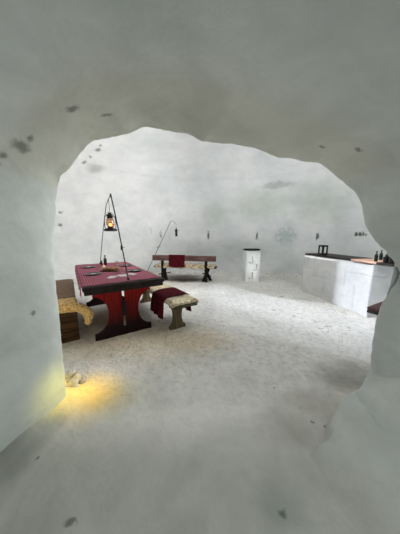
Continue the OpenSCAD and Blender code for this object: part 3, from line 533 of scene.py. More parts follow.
def buildDoorway():
    count = 420
    rim = softened(alongLine(rimLine, count), 2)
    rim[:, 1] = np.maximum(rim[:, 1], 0)
    even = softened(rim, 26)
    even[:, 1] = np.maximum(even[:, 1] - even[0, 1], 0)
    rim[0, 1] = rim[-1, 1] = 0

    def away(line):  # in x and z, out of the opening
        d = np.gradient(line, axis=0)
        return unit(np.stack([-d[:, 1], d[:, 0]], -1))

    rimOut, evenOut = away(softened(rim, 6)), away(even)
    flat = smooth(rim[:, 1] / 0.3)[:, None]  # at the foot the section stays level
    rimOut = unit(np.stack([rimOut[:, 0], rimOut[:, 1] * flat[:, 0]], -1))
    evenOut = unit(np.stack([evenOut[:, 0], evenOut[:, 1] * flat[:, 0]], -1))
    s = np.linspace(0, 1, count)
    leftEnd, rightEnd = 0.27, 0.74
    side = np.where(s < leftEnd, s / leftEnd, np.where(s > rightEnd, (1 - s) / (1 - rightEnd), 1))
    edgeZ = hall["ringTop"] * side
    edgeAngle = mix(hall["bayLeft"], hall["bayRight"], np.clip((s - leftEnd) / (rightEnd - leftEnd), 0, 1))
    edgeIn, edgeOut = domePoint(edgeAngle, edgeZ), domePoint(edgeAngle, edgeZ, True)
    phi = np.pi * (1 - s)
    k = 2 / passage["heapPower"]
    heap = np.stack([passage["middle"] + passage["heapHalf"] * np.sign(np.cos(phi))
                     * np.abs(np.cos(phi)) ** k, passage["heapTop"] * np.sin(phi).clip(0) ** k], -1)
    rows, kinds = [], []  # each row is one line along the opening

    def addRow(xz, y, kind):
        rows.append(np.stack([xz[:, 0], y + 0 * xz[:, 0], xz[:, 1]], -1))
        kinds.append(kind)

    bend = 0.05
    start = rim + rimOut * bend
    for t in np.linspace(0, 1, 30):
        xz = mix(edgeIn[:, [0, 2]], start, t ** 0.8)
        addRow(xz, domeY(xz[:, 0], xz[:, 1]), "hall")
    faceY = domeY(start[:, 0], start[:, 1])
    for a in np.radians([18, 36, 54, 72, 90]):
        xz = rim + rimOut * bend * (1 - np.sin(a))
        addRow(xz, faceY - bend * (1 - np.cos(a)), "rim")
    rimY = faceY - bend
    back = even + evenOut * passage["widen"]
    for t in (np.arange(1, 41) / 40) ** 1.35:
        y = mix(rimY, passage["meet"], t)
        xz = mix(rim, back, smooth((rimY - y) / 0.5)[:, None])
        addRow(np.stack([flared(xz[:, 0], y), xz[:, 1]], -1), y, "reveal")
    inner = len(rows)
    for t in np.arange(1, 17) / 16:
        y = mix(passage["meet"], passage["mouth"] + passage["lip"], t)
        addRow(np.stack([flared(back[:, 0], y), back[:, 1]], -1), y, "passage")
    last = rows[-1][:, [0, 2]]
    lip = passage["lip"]
    for a in np.radians([22, 45, 67, 90]):
        addRow(last + evenOut * lip * (1 - np.cos(a)), passage["mouth"] + lip * (1 - np.sin(a)), "mouth")
    low, high = last + evenOut * lip, heap - unit(heap - [passage["middle"], 0.9]) * lip * 1.5
    high[:, 1] = np.maximum(high[:, 1], 0)
    high[0, 1] = high[-1, 1] = 0
    for t in (0.25, 0.5, 0.75, 1.0):
        addRow(mix(low, high, t), passage["mouth"], "mouth")
    for a in np.radians([18, 36, 54, 72, 90]):
        addRow(mix(high, heap, np.sin(a)), passage["mouth"] + lip * 1.5 * (1 - np.cos(a)), "outside")
    for t in np.arange(1, 15) / 14:
        addRow(heap, mix(passage["mouth"] + lip * 1.5, passage["fillet"], t), "outside")
    outer = len(rows)
    edgeXZ = edgeOut[:, [0, 2]]
    for t in np.arange(1, 21) / 20:
        a = t * math.pi / 2
        xz = mix(heap, edgeXZ, 1 - math.cos(a))
        surface = domeY(xz[:, 0], xz[:, 1], True)
        addRow(xz, surface + (passage["fillet"] - surface) * (1 - math.sin(a)), "heap")
    grid = np.array(rows)
    normals = -gridNormals(grid)
    shaped = grid.copy()
    rimRow = kinds.index("reveal") - 1
    for i, kind in enumerate(kinds):
        p = grid[i]
        grounded = smooth((p[:, 2] - 0.02) / 0.2)[:, None]
        if kind in ("hall", "rim", "reveal", "passage"):
            fromRim = np.linalg.norm(p - grid[rimRow], axis=-1)
            calm = smooth(fromRim / 0.45)  # the measured rim keeps its outline
            rag = (0.007 * lattice(p, 0.09, 6) + 0.005 * lattice(p, 0.04, 7)) * np.exp(-(fromRim / 0.12) ** 2)
            move = normals[i] * (rag - snowRelief(p) * calm)[:, None]
            if kind == "hall":
                move = domeNormal(p) * (wallRelief(p) * calm)[:, None]
        elif kind == "mouth":
            move = normals[i] * 0
        else:
            move = normals[i] * snowDrift(p)[:, None]
        level = 1 if kind == "heap" else grounded
        shaped[i] = p + np.concatenate([move[:, :2] * level, move[:, 2:] * grounded], 1)
    shaped[0] = innerWall(edgeAngle, edgeZ)
    shaped[-1] = outerWall(edgeAngle, edgeZ)
    shaped[..., 1] = np.maximum(shaped[..., 1], passage["mouth"])
    normals = -gridNormals(shaped)
    normals[0] = surfaceNormals(innerWall, edgeAngle, edgeZ, -1)
    normals[-1] = surfaceNormals(outerWall, edgeAngle, edgeZ, 1)
    return shaped, normals, inner, outer, kinds


def sectionPiece(name, rows, materialOf, materials, replaced):
    sub = doorGrid[rows]
    count, cols = sub.shape[:2]
    faces = quads(count, cols)
    index = [materialOf(i) for i in rows[:-1] for _ in range(cols - 1)]
    lastRow = (count - 1) * cols
    for j in range(cols - 1):  # the hidden face that closes the section
        faces.append([lastRow + j, lastRow + j + 1, j + 1, j])
    faces.append([i * cols for i in range(count)])
    faces.append([i * cols + cols - 1 for i in range(count)][::-1])
    index += [1] * (len(faces) - len(index))
    addPiece(name, (sub, faces), materials, replaced=replaced, index=index, normals=doorN[rows])


doorGrid, doorN, doorInner, doorOuter, doorKinds = buildDoorway()
sectionPiece("door_surround", [*range(doorInner), *range(doorOuter - 1, len(doorKinds))],
             lambda i: 0 if doorKinds[i] == "hall" else 1 if i < doorInner else 2,
             [wallSnow, shadedDoorSnow, outerSnow], ["door_left_pier", "door_right_pier", "door_lintel"])
sectionPiece("entrance_passage", [*range(doorInner - 1, doorOuter)],
             lambda i: 0 if doorKinds[i + 1] == "passage" else 1, [shadedDoorSnow, outerSnow],
             ["passage_left_wall", "passage_right_wall", "passage_vault"])
print("doorway and passage made")

# floor of trodden snow
floorFacts = {"margin": 0.07, "tread": 0.012, "fillet": 0.10, "filletReach": 0.26}


def wallsAt(y):  # left and right passage wall at y, a little inside the even profile
    return flared(passage["leftWall"], y), flared(passage["rightWall"], y)


def roomDistance(x, y):  # how far inside the walls a point of the floor is
    s = np.sqrt((x / hall["halfLength"]) ** 2 + (y / hall["halfWidth"]) ** 2)
    inHall = (1 - s) * np.hypot(x, y) / np.maximum(s, 1e-3)
    left, right = wallsAt(y)
    inPassage = np.where(y < -2.2, np.minimum(x - left, right - x), -1)
    return np.maximum(inHall, inPassage)


def floorTop(x, y):
    p = np.stack([x, y, 0 * x], -1)
    trodden = 0.25 + 0.75 * smooth((y + 3.0) / 0.9)
    rise = floorFacts["fillet"] * (1 - np.clip(roomDistance(x, y) / floorFacts["filletReach"], 0, 1)) ** 2
    tread = 0.4 * lattice(p, 0.9, 21)  # wide hollows, then footprints, clods and crumbs
    for high, cell, seed, stretch in ((0.5, 0.21, 22, 1), (0.35, 0.09, 23, 1), (0.22, 0.045, 24, 1.6)):
        tread = tread + high * lattice(p * [1, stretch, 1], cell, seed) * trodden
    return hall["floorTop"] + floorFacts["tread"] * (1.1 + tread) + rise


def buildFloor():
    xs = stepped(-4.6, 0.05, -1.7, 0.022, 1.5, 0.05, 4.6)
    ys = stepped(-5.6, 0.08, -3.7, 0.02, -1.6, 0.045, 3.0)
    x, y = np.meshgrid(xs, ys)
    top = np.stack([x, y, floorTop(x, y)], -1)
    keep = roomDistance(x, y) > -floorFacts["margin"]
    cell = keep[:-1, :-1] & keep[1:, :-1] & keep[1:, 1:] & keep[:-1, 1:]
    rows, cols = x.shape
    faces = [f for f, k in zip(quads(rows, cols), cell.ravel()) if k]
    edges = {}
    for f in faces:
        for a, b in zip(f, f[1:] + f[:1]):
            if edges.pop((b, a), None) is None:
                edges[(a, b)] = True
    used = sorted({v for f in faces for v in f})
    number = {v: i for i, v in enumerate(used)}
    upper = top.reshape(-1, 3)[used]
    lower = upper * [1, 1, 0]
    rim = sorted({v for e in edges for v in e})
    low = {v: len(used) + i for i, v in enumerate(rim)}
    points = np.concatenate([upper, lower[[number[v] for v in rim]]])
    allFaces = [[number[v] for v in f] for f in faces]
    allFaces += [[number[a], low[a], low[b], number[b]] for a, b in edges]
    nextOf = {a: b for a, b in edges}
    loop, at = [low[rim[0]]], nextOf[rim[0]]
    while at != rim[0]:
        loop.append(low[at])
        at = nextOf[at]
    allFaces.append(loop[::-1])
    addPiece("snow_floor_trodden", (points, allFaces), floorSnow, replaced=["snow_floor"],
             crease=0)


buildFloor()
print("floor made")

# bank of shovelled snow at the right jamb: a ragged lip on the hall side, sloping to the passage floor
bank = {
    "lip": [(0.27, -3.16, 0.205), (0.38, -3.16, 0.215), (0.44, -3.15, 0.27), (0.50, -3.14, 0.29),
            (0.55, -3.10, 0.30), (0.57, -3.08, 0.33), (0.65, -3.0, 0.44), (0.75, -2.98, 0.50),
            (0.84, -2.93, 0.49), (0.93, -2.87, 0.547), (1.05, -2.82, 0.58)],
    "foot": [(0.25, -3.25), (0.30, -3.40), (0.38, -3.60), (0.50, -3.85), (0.70, -4.15), (0.88, -4.45),
             (1.17, -4.80)],
    "wallReach": 0.35, "wallRise": 0.16,
}


def buildBank():
    along, across, cliff = 90, 60, 7
    lip, foot = softened(alongLine(bank["lip"], along), 1), alongLine(bank["foot"], along)
    d = np.gradient(lip[:, :2], axis=0)
    north = unit(np.stack([-d[:, 1], d[:, 0]], -1))
    rows = []
    for k in range(cliff):  # steep side towards the hall
        t = k / cliff
        rag = 0.012 * lattice(np.stack([lip[:, 0], lip[:, 1], t + 0 * lip[:, 0]], -1), 0.06, 31)
        xy = lip[:, :2] + north * (0.075 * (1 - t) ** 1.5 + rag * t)[:, None]
        rows.append(np.stack([xy[:, 0], xy[:, 1], mix(0.16, lip[:, 2] - 0.008, t ** 0.8)], -1))
    for b in np.linspace(0, 1, across) ** 1.15:
        xy = mix(lip[:, :2], foot, b)
        p = np.stack([xy[:, 0], xy[:, 1], 0 * xy[:, 0]], -1)
        right = wallsAt(xy[:, 1])[1]
        nearWall = np.clip(1 - (right - xy[:, 0]) / bank["wallReach"], 0, 1.2)
        rise = bank["wallRise"] * nearWall ** 2 * (1 - b) ** 0.5
        height = np.maximum(lip[:, 2] - 0.215, 0) * (1 - b) ** 1.3 + rise * smooth(b / 0.2)
        lumps = 0.020 * lattice(p, 0.16, 32) + 0.011 * lattice(p, 0.06, 33) + 0.005 * lattice(p, 0.028, 34)
        lumps = lumps * smooth(height / 0.12) * (1 - smooth((0.06 - b) / 0.06) * 0.5)
        z = floorTop(xy[:, 0], xy[:, 1]) * (1 - smooth((0.2 - b) / 0.2)) + 0.213 * smooth((0.2 - b) / 0.2)
        rows.append(np.stack([xy[:, 0], xy[:, 1], z - 0.014 * smooth(b * 4) + height + lumps], -1))
    grid = np.array(rows)
    count, cols = grid.shape[:2]
    low = grid * [1, 1, 0] + [0, 0, 0.15]
    points = np.concatenate([grid.reshape(-1, 3), low.reshape(-1, 3)])
    faces = quads(count, cols, flip=True) + quads(count, cols, count * cols)
    size = count * cols
    ring = ([j for j in range(cols)] + [i * cols + cols - 1 for i in range(1, count)]
            + [(count - 1) * cols + j for j in range(cols - 2, -1, -1)]
            + [i * cols for i in range(count - 2, 0, -1)])
    for a, b in zip(ring, ring[1:] + ring[:1]):
        faces.append([a, b, size + b, size + a])
    addPiece("snow_bank_shovelled", (points, faces), bankSnow, replaced=["snow_bank"],
             crease=0)


bankSnow = packedSnow("loose snow, shovelled bank", "#e6eae5", "#cfd3ce", 70, 0.02, streaks=0.6,
                      footShade="#e2dfdd")
buildBank()
print("bank made")


# shapes that the furniture is made from: each gives points and faces
def joined(*parts):
    points, faces = [], []
    for p, f in parts:
        first = sum(len(q) for q in points)
        points.append(np.asarray(p, float))
        faces += [[v + first for v in face] for face in f]
    return np.concatenate(points), faces


def moved(part, by=(0, 0, 0), turn=0, axis="Z"):
    spin = np.array(Matrix.Rotation(math.radians(turn), 3, axis))
    return np.asarray(part[0], float) @ spin.T + np.array(by, float), part[1]


def boxSurface(xs, ys, zs):
    number, points, faces = {}, [], []
    last = (len(xs) - 1, len(ys) - 1, len(zs) - 1)

    def at(*key):
        if key not in number:
            number[key] = len(points)
            points.append((xs[key[0]], ys[key[1]], zs[key[2]]))
        return number[key]

    for axis in range(3):
        u, v = (axis + 1) % 3, (axis + 2) % 3
        for end in (0, last[axis]):
            for i in range(last[u]):
                for j in range(last[v]):
                    ring = []
                    for a, b in ((i, j), (i + 1, j), (i + 1, j + 1), (i, j + 1)):
                        key = [0, 0, 0]
                        key[axis], key[u], key[v] = end, a, b
                        ring.append(at(*key))
                    faces.append(ring if end else ring[::-1])
    return np.array(points), faces


def roundBox(low, high, radius, cell=0.15):
    low, high = np.array(low, float), np.array(high, float)
    r = np.minimum(radius, (high - low) / 2.02)
    lines = [np.concatenate([[a, a + 0.3 * k], steps(a + k, b - k, cell), [b - 0.3 * k, b]])
             for a, b, k in zip(low, high, r)]
    points, faces = boxSurface(*lines)
    core = np.clip(points, low + r, high - r)
    return core + unit((points - core) / r) * r, faces


def lathe(profile, around=32):
    profile = np.array(profile, float)
    angle = np.linspace(0, 2 * math.pi, around, endpoint=False)
    body = profile[profile[:, 0] > 1e-6]
    ring = np.stack([np.outer(body[:, 0], np.cos(angle)), np.outer(body[:, 0], np.sin(angle)),
                     np.repeat(body[:, 1:], around, 1)], -1)
    points, faces = ring.reshape(-1, 3), quads(len(body), around, wrap=True)
    for first, tip, way in ((0, profile[0], -1), ((len(body) - 1) * around, profile[-1], 1)):
        loop = list(range(first, first + around))[::way]
        if tip[0] > 1e-6:
            faces.append(loop)
        else:
            faces += [[a, b, len(points)] for a, b in zip(loop, loop[1:] + loop[:1])]
            points = np.concatenate([points, [[0, 0, tip[1]]]])
    return points, faces


def tube(path, radius, around=12):
    path = np.array(path, float)
    radius = np.broadcast_to(radius, len(path))
    along = unit(np.gradient(path, axis=0))
    side = np.cross(along[0], [0.3, 0.2, 1.0])
    rings = []
    for k, (p, d) in enumerate(zip(path, along)):
        side = unit(side - d * (side @ d))
        other = np.cross(d, side)
        a = np.linspace(0, 2 * math.pi, around, endpoint=False)[:, None]
        rings.append(p + radius[k] * (np.cos(a) * side + np.sin(a) * other))
    end = (len(path) - 1) * around
    return np.concatenate(rings), quads(len(path), around, wrap=True) + [
        list(range(around))[::-1], list(range(end, end + around))]


def sheetMesh(grid, thickness):  # a closed thin sheet about a grid of points
    n = gridNormals(grid) * thickness / 2
    rows, cols = grid.shape[:2]
    count = rows * cols
    faces = quads(rows, cols, flip=True) + quads(rows, cols, count)
    edge = ([i * cols for i in range(rows)] + [(rows - 1) * cols + j for j in range(1, cols)]
            + [i * cols + cols - 1 for i in range(rows - 2, -1, -1)] + list(range(cols - 2, 0, -1)))
    for a, b in zip(edge, edge[1:] + edge[:1]):
        faces.append([b, a, count + a, count + b])
    return np.concatenate([(grid + n).reshape(-1, 3), (grid - n).reshape(-1, 3)]), faces


def slab(outline, thickness, bevel=0.004):  # boards sawn to an outline in x and z, thickness along y
    bm = bmesh.new()
    spots = {}

    def at(p):
        key = (round(p[0], 5), round(p[1], 5))
        if key not in spots:
            spots[key] = bm.verts.new((p[0], -thickness / 2, p[1]))
        return spots[key]

    loops = outline if isinstance(outline[0][0], (list, tuple)) else [outline]
    made = [bm.faces.new([at(p) for p in loop]) for loop in loops]
    got = bmesh.ops.extrude_face_region(bm, geom=made)
    bmesh.ops.translate(bm, verts=[v for v in got["geom"] if isinstance(v, bmesh.types.BMVert)],
                        vec=(0, thickness, 0))
    bmesh.ops.recalc_face_normals(bm, faces=bm.faces)
    sharp = [e for e in bm.edges if len(e.link_faces) == 2 and e.calc_face_angle() > 0.6]
    bmesh.ops.bevel(bm, geom=sharp, offset=bevel, segments=2, profile=0.6, affect="EDGES")
    bm.verts.index_update()
    points = np.array([v.co[:] for v in bm.verts])
    faces = [[v.index for v in f.verts] for f in bm.faces]
    bm.free()
    # the bevel numbers its corners anew each run, so they are put in one fixed order
    order = np.lexsort(np.round(points, 6).T)
    rank = np.argsort(order).tolist()
    faces = [[rank[v] for v in face] for face in faces]
    # a face of four keeps the diagonal that it is split along
    starts = [face.index(min(face[::2] if len(face) == 4 else face)) for face in faces]
    return points[order], sorted(face[k:] + face[:k] for face, k in zip(faces, starts))


# materials of the furniture
def sawnWood(name, light, dark, along, rough=0.6, foot=None):
    # softwood boards, stained or weathered: long grain lines, darker along the early wood, matt
    material, tree, shader = newMaterial(name, Roughness=rough, Specular_IOR_Level=0.2)
    where = node(tree, "TexCoord").outputs["Object"]
    stretch = [millimetres(14)] * 3  # grain lines about 14 mm apart, so that they show
    stretch["XYZ".index(along)] = millimetres(420)
    grainAt = node(tree, "Mapping", {"Vector": where, "Scale": stretch})
    grain = node(tree, "TexNoise", {"Vector": grainAt, "Scale": 1.0, "Detail": 5.0, "Distortion": 0.4})
    colour = node(tree, "ValToRGB", {"Fac": grain}, [(0.36, dark), (0.62, light)])
    if foot:  # the lower part is darker: partly wet wood, partly painted shade
        height = node(tree, "SeparateXYZ", {"Vector": where}).outputs["Z"]
        fade = node(tree, "MapRange", {"Value": height, "From Min": 0.16, "From Max": 0.6})
        colour = node(tree, "Mix", {0: fade, 6: rgba(foot), 7: colour}, **blended).outputs[2]
    bump = node(tree, "Bump", {"Height": grain, "Distance": 0.003, "Strength": 0.5})
    feed(tree, shader, {"Base Color": colour, "Normal": bump})
    return material


def woolPile(name, light, dark, curl, depth):
    # sheep's fleece: dense curly locks, bright on the tips and brown down in the gaps, partly the wool's own
    # colour and partly painted shade, with a soft sheen
    material, tree, shader = newMaterial(name, Roughness=0.95, Sheen_Weight=0.25)
    where = node(tree, "TexCoord").outputs["Object"]
    locks = node(tree, "TexNoise", {"Vector": where, "Scale": millimetres(curl), "Detail": 4.0,
                                    "Distortion": 1.2})
    tint = node(tree, "ValToRGB", {"Fac": locks}, [(0.34, dark), (0.56, light)])
    bump = node(tree, "Bump", {"Height": locks, "Distance": depth, "Strength": 0.9})
    feed(tree, shader, {"Base Color": tint, "Normal": bump})
    return material


def wovenCloth(name, base, other, check, thread, sheen):
    # plain-woven cloth: small checks of two dyed yarns, or one fuzzy yarn where check is 0, in a ribbed weave
    material, tree, shader = newMaterial(name, Roughness=0.95, Specular_IOR_Level=0.1, Sheen_Weight=sheen)
    where = node(tree, "TexCoord").outputs["Object"]
    if check:
        parts = node(tree, "SeparateXYZ", {"Vector": where})
        bands = []
        for axis in "XY":
            turns = node(tree, "Math", {0: parts.outputs[axis], 1: millimetres(2 * check)}, **times)
            share = node(tree, "Math", {0: turns}, operation="FRACT")
            bands.append(node(tree, "Math", {0: share, 1: 0.5}, operation="GREATER_THAN"))
        both = node(tree, "Math", {0: bands[0], 1: bands[1]}, operation="ADD")
        half = node(tree, "Math", {0: both, 1: 0.5}, **times)
        colour = node(tree, "Mix", {0: half, 6: rgba(base), 7: rgba(other)}, **blended).outputs[2]
    else:
        fuzz = node(tree, "TexNoise", {"Vector": where, "Scale": millimetres(30), "Detail": 4.0})
        colour = node(tree, "ValToRGB", {"Fac": fuzz}, [(0.35, other), (0.65, base)])
    weave = node(tree, "TexWave", {"Vector": where, "Scale": millimetres(thread) / 6.28, "Distortion": 1.5},
                 bands_direction="DIAGONAL")
    bump = node(tree, "Bump", {"Height": weave.outputs["Fac"], "Distance": 0.0015, "Strength": 0.5})
    feed(tree, shader, {"Base Color": colour, "Normal": bump})
    return material


def plainFinish(name, light, dark, size, rough, depth=0.0006, **sockets):
    # an even finish whose colour and skin vary a little at the given size
    material, tree, shader = newMaterial(name, Roughness=rough, **sockets)
    where = node(tree, "TexCoord").outputs["Object"]
    cloud = node(tree, "TexNoise", {"Vector": where, "Scale": millimetres(size), "Detail": 4.0})
    tint = node(tree, "ValToRGB", {"Fac": cloud}, [(0.35, dark), (0.65, light)])
    bump = node(tree, "Bump", {"Height": cloud, "Distance": depth, "Strength": 0.6})
    feed(tree, shader, {"Base Color": tint, "Normal": bump})
    return material


def blownGlass(name, tintColour, rough=0.03):
    # blown glass: clear or bottle green, smooth, with a slight sway in its surface
    material, tree, shader = newMaterial(name, Roughness=rough, IOR=1.5, Transmission_Weight=1.0,
                                         Base_Color=rgba(tintColour))
    where = node(tree, "TexCoord").outputs["Object"]
    sway = node(tree, "TexNoise", {"Vector": where, "Scale": millimetres(60), "Detail": 1.0})
    feed(tree, shader, {"Normal": node(tree, "Bump", {"Height": sway, "Distance": 0.001, "Strength": 0.3})})
    return material


redPine = sawnWood("red-stained pine", "#a8100a", "#5e0805", "Z", 0.6, foot="#1a0303")
darkPine = sawnWood("dark-stained pine", "#241915", "#100b0a", "Y", 0.5)
darkRail = sawnWood("dark-stained pine rail", "#241815", "#120c0b", "Y", 0.5)
greyPine = sawnWood("weathered pine seat", "#5d5240", "#352d20", "Y", 0.75)
greyLeg = sawnWood("weathered pine leg", "#74664c", "#3a3122", "Z", 0.75)
# the pale plank is the dark pine painted as if lit by the sun
sunlitPinePainted = sawnWood("pine board, painted sunlit", "#e6c4b0", "#c99c84", "Y", 0.55)
brownPine = sawnWood("oiled brown pine", "#553918", "#241509", "X", 0.6)
mauveBoard = sawnWood("old painted backrest board", "#80605a", "#38241f", "X", 0.7)
# near-black log legs: dark wood, painted darker still for the shade under the bench
shadedLogLeg = sawnWood("rough log leg", "#221a12", "#0e0a06", "Z", 0.8)
creamFleece = woolPile("cream sheepskin fleece", "#ddd0ae", "#957d56", 34, 0.012)
goldFleece = woolPile("golden sheepskin fleece", "#fbd184", "#a87636", 30, 0.012)
ruffledFleece = woolPile("ruffled brown and white sheepskin", "#dccaa4", "#5a4630", 75, 0.012)
hideHair = woolPile("short-haired brown hide", "#886433", "#47300f", 26, 0.005)
checkCloth = wovenCloth("mauve checked cotton", "#7a3342", "#aa6e7c", 14, 3, 0.02)
burgundyWool = wovenCloth("burgundy wool blanket", "#5c1420", "#2c060c", 0, 6, 0.0)
# forged iron, blackened: dark, half matt, a little uneven from the hammer
blackIron = plainFinish("blackened forged iron", "#242426", "#131314", 25, 0.5, Metallic=0.7)
# galvanised tube gone dull: grey, half matt
dullZinc = plainFinish("dull galvanised tube", "#7f8486", "#5f6365", 30, 0.5, Metallic=0.5)
# stoneware with a black glaze: smooth and glossy
blackGlaze = plainFinish("black glazed stoneware", "#1a1818", "#101010", 60, 0.32)
# pressed soft paper: matt, faintly cloudy
whitePaper = plainFinish("white paper napkin", "#d5d0cd", "#bdb7b4", 40, 0.8)
# cast candle wax: pale yellow, smooth, half matt
beeswax = plainFinish("pale candle wax", "#e8dfc6", "#dccfae", 30, 0.45)
# baked crust: brown in patches, with small blisters
crust = plainFinish("bread crust", "#a9824f", "#664522", 18, 0.7, depth=0.002)
# cast wax of a smoked candle: brown in patches, rough where it ran
brownWax = plainFinish("brown candle wax", "#a9824f", "#664522", 18, 0.7, depth=0.002)
# leather pulled over a pad: dark red, half matt, a fine uneven skin
darkRedCover = plainFinish("dark red leather cover", "#47161b", "#2e0d11", 35, 0.55)
# a flame lights itself, so it shows as one warm glow
flameGlow = newMaterial("candle flame", Roughness=0.5, Base_Color=rgba("#ffcf80"),
                        Emission_Color=rgba("#ffb860"), Emission_Strength=5.0)[0]
clearGlass = blownGlass("clear lamp glass", "#f3efe8")
bottleGlass = blownGlass("dark bottle glass", "#1d2a22", 0.06)
sootedGlass = blownGlass("sooted lamp glass", "#e6c8ac", 0.12)
print("materials made")

# trestle table
floorLevel = hall["floorTop"]
table = {
    "spot": (-1.741, -0.982, floorLevel), "turn": 33.2, "length": 2.09, "width": 0.945, "height": 0.785,
    "board": 0.045, "apron": 0.05, "foot": 0.735, "waist": 0.38, "thick": 0.05, "slot": 0.036,
    "trestleIn": 0.30,
}
tablePlace = (table["spot"], table["turn"])
trestleTop = table["height"] - table["board"]
trestleAt = table["length"] / 2 - table["trestleIn"]


def buildTableTop():
    half, reach, top = table["width"] / 2, table["length"] / 2, table["height"]
    parts = []
    for k in range(3):
        wide = table["width"] / 3
        low = -half + k * wide + (0.002 if k else 0)
        parts.append(roundBox((low, -reach, top - table["board"]), (low + wide - 0.002, reach, top),
                              0.006, 0.3))
    for x in (-half + 0.015, half - 0.045):
        parts.append(roundBox((x, -reach + 0.015, trestleTop - table["apron"]),
                              (x + 0.03, reach - 0.015, trestleTop), 0.003, 0.4))
    for y in (-reach + 0.015, reach - 0.045):
        parts.append(roundBox((-half + 0.045, y, trestleTop - table["apron"]),
                              (half - 0.045, y + 0.03, trestleTop), 0.003, 0.3))
    return joined(*parts)


def trestleOutline(head, waist, foot, height, headHigh, footHigh, slotWide=0.0, slotLow=0.0, slotTop=0.0):
    bite = (height - headHigh - footHigh) / 2
    centre = footHigh + bite
    right = [(0, 0), (foot / 2, 0), (foot / 2, footHigh)]
    reach = min(foot / 2 - waist / 2, bite)
    for a in np.radians(np.linspace(-90, 90, 25)):
        right.append((waist / 2 + reach * (1 - math.cos(a)), centre + bite * math.sin(a)))
    right += [(head / 2, height - headHigh), (head / 2, height), (0, height)]
    clean = [right[0]]
    for p in right[1:]:
        if math.hypot(p[0] - clean[-1][0], p[1] - clean[-1][1]) > 0.002:
            clean.append(p)
    if slotWide:
        clean += [(0, slotTop), (slotWide / 2, slotTop), (slotWide / 2, slotLow), (0, slotLow)]
        return [clean, [(-x, z) for x, z in clean][::-1]]
    return clean[:-1] + [(-x, z) for x, z in clean[1:]][::-1]


def buildTrestles():
    outline = trestleOutline(table["foot"] - 0.01, table["waist"], table["foot"], trestleTop, 0.15, 0.09,
                             table["slot"], 0.16 * trestleTop, trestleTop - 0.04)
    board = slab(outline, table["thick"], 0.005)
    return joined(*[moved(board, (0, s * trestleAt, 0)) for s in (-1, 1)])


def buildStretcher():
    low, high = 0.42 * trestleTop, 0.42 * trestleTop + 0.15
    reach = trestleAt + table["thick"] / 2 + 0.06
    parts = [roundBox((-0.0175, -reach, low), (0.0175, reach, high), 0.004, 0.4)]
    for s in (-1, 1):  # the wedge that draws the trestle tight
        y = s * (trestleAt + table["thick"] / 2 + 0.018)
        parts.append(roundBox((-0.028, y - 0.012, low - 0.02), (0.028, y + 0.012, high + 0.025), 0.006, 0.1))
    return joined(*parts)


addPiece("table_boards", buildTableTop(), darkPine, tablePlace, ["table_top"], 0.0015)
addPiece("table_trestle_boards", buildTrestles(), redPine, tablePlace, ["table_trestles"])
addPiece("table_rail", buildStretcher(), darkRail, tablePlace, ["table_stretcher"])

cloth = {"drop": 0.13, "corner": 0.012, "fallRows": 9, "endsIn": 0.06, "rightIn": 0.03, "thick": 0.003}


def buildTablecloth():
    half, reach, count = table["width"] / 2, table["length"] / 2, cloth["fallRows"]
    onTop = steps(-half + cloth["corner"], half - cloth["rightIn"], 0.02)
    across = np.concatenate([-half - 0.006 - np.zeros(count), onTop])
    fall = np.concatenate([np.linspace(-cloth["drop"], -cloth["corner"], count), 0 * onTop])
    x, y = np.meshgrid(across, steps(-reach + cloth["endsIn"], reach - cloth["endsIn"], 0.02), indexing="ij")
    z = fall[:, None] + table["height"] + 0.004 + 0 * y
    p = np.stack([x, y, z], -1)
    hanging = (np.arange(len(across)) < count)[:, None]
    folds = 0.007 * np.sin(y * 21 + 0.6 * np.sin(y * 5)) * smooth(-fall[:, None] / cloth["drop"])
    x = x - np.where(hanging, 0.004 + np.abs(folds) + folds * 0.6, 0)
    edge = smooth((np.abs(y) - reach + 0.2) / 0.14)
    y = y + edge * np.sign(y) * (0.012 * lattice(np.stack([x, 0 * y, 0 * y], -1), 0.12, 51) - 0.004)
    z = z + np.where(hanging, 0, 0.0015 * (1 + lattice(p, 0.09, 52)) + 0.001 * (1 + lattice(p, 0.03, 53)))
    return np.stack([x, y, z], -1)


tableCloth = addPiece("table_cloth", sheetMesh(buildTablecloth(), cloth["thick"]), checkCloth, tablePlace,
                      ["tablecloth"])
clothTop = table["height"] + 0.0063 + 0.0003
onCloth = clothTop + 0.0004

laid = {  # x and y on the table; a paper also has its width and length
    "plates": [(-0.290, -0.292), (-0.293, 0.471), (0.293, -0.330), (0.306, 0.324)],
    "papers": [(-0.10, -0.64, 0.15, 0.10), (0.04, -0.61, 0.17, 0.11), (0.17, -0.56, 0.15, 0.10)],
    "glasses": [(0.03, -0.356), (0.10, -0.40), (-0.16, 0.20), (0.13, 0.30), (0.20, 0.62)],
    "bottle": (0.004, 0.675), "jar": (-0.06, 0.715), "bread": (-0.035, -0.09), "breadTurn": -33,
    "candle": (-0.095, 0.12),
}


def plateParts(x, y):
    return moved(lathe([(0.0, 0.0), (0.067, 0.0), (0.111, 0.0155), (0.1125, 0.0175), (0.110, 0.0195),
                        (0.082, 0.010), (0.067, 0.0065), (0.0, 0.006)], 48), (x, y, clothTop + 0.0006))


addPiece("plates", joined(*[plateParts(x, y) for x, y in laid["plates"]]), blackGlaze, tablePlace,
         ["table_ware"])


def napkinGrid(x, y, wide, long, seed, z=0.0):
    u, v = np.meshgrid(np.linspace(-wide / 2, wide / 2, 12), np.linspace(-long / 2, long / 2, 12),
                       indexing="ij")
    turn = 0.6 * seed
    q = np.stack([x + u * math.cos(turn) - v * math.sin(turn), y + u * math.sin(turn) + v * math.cos(turn),
                  0 * u], -1)
    q[..., 2] = clothTop + z + 0.004 + 0.004 * (1 + lattice(q, 0.05, 60 + seed))
    return q


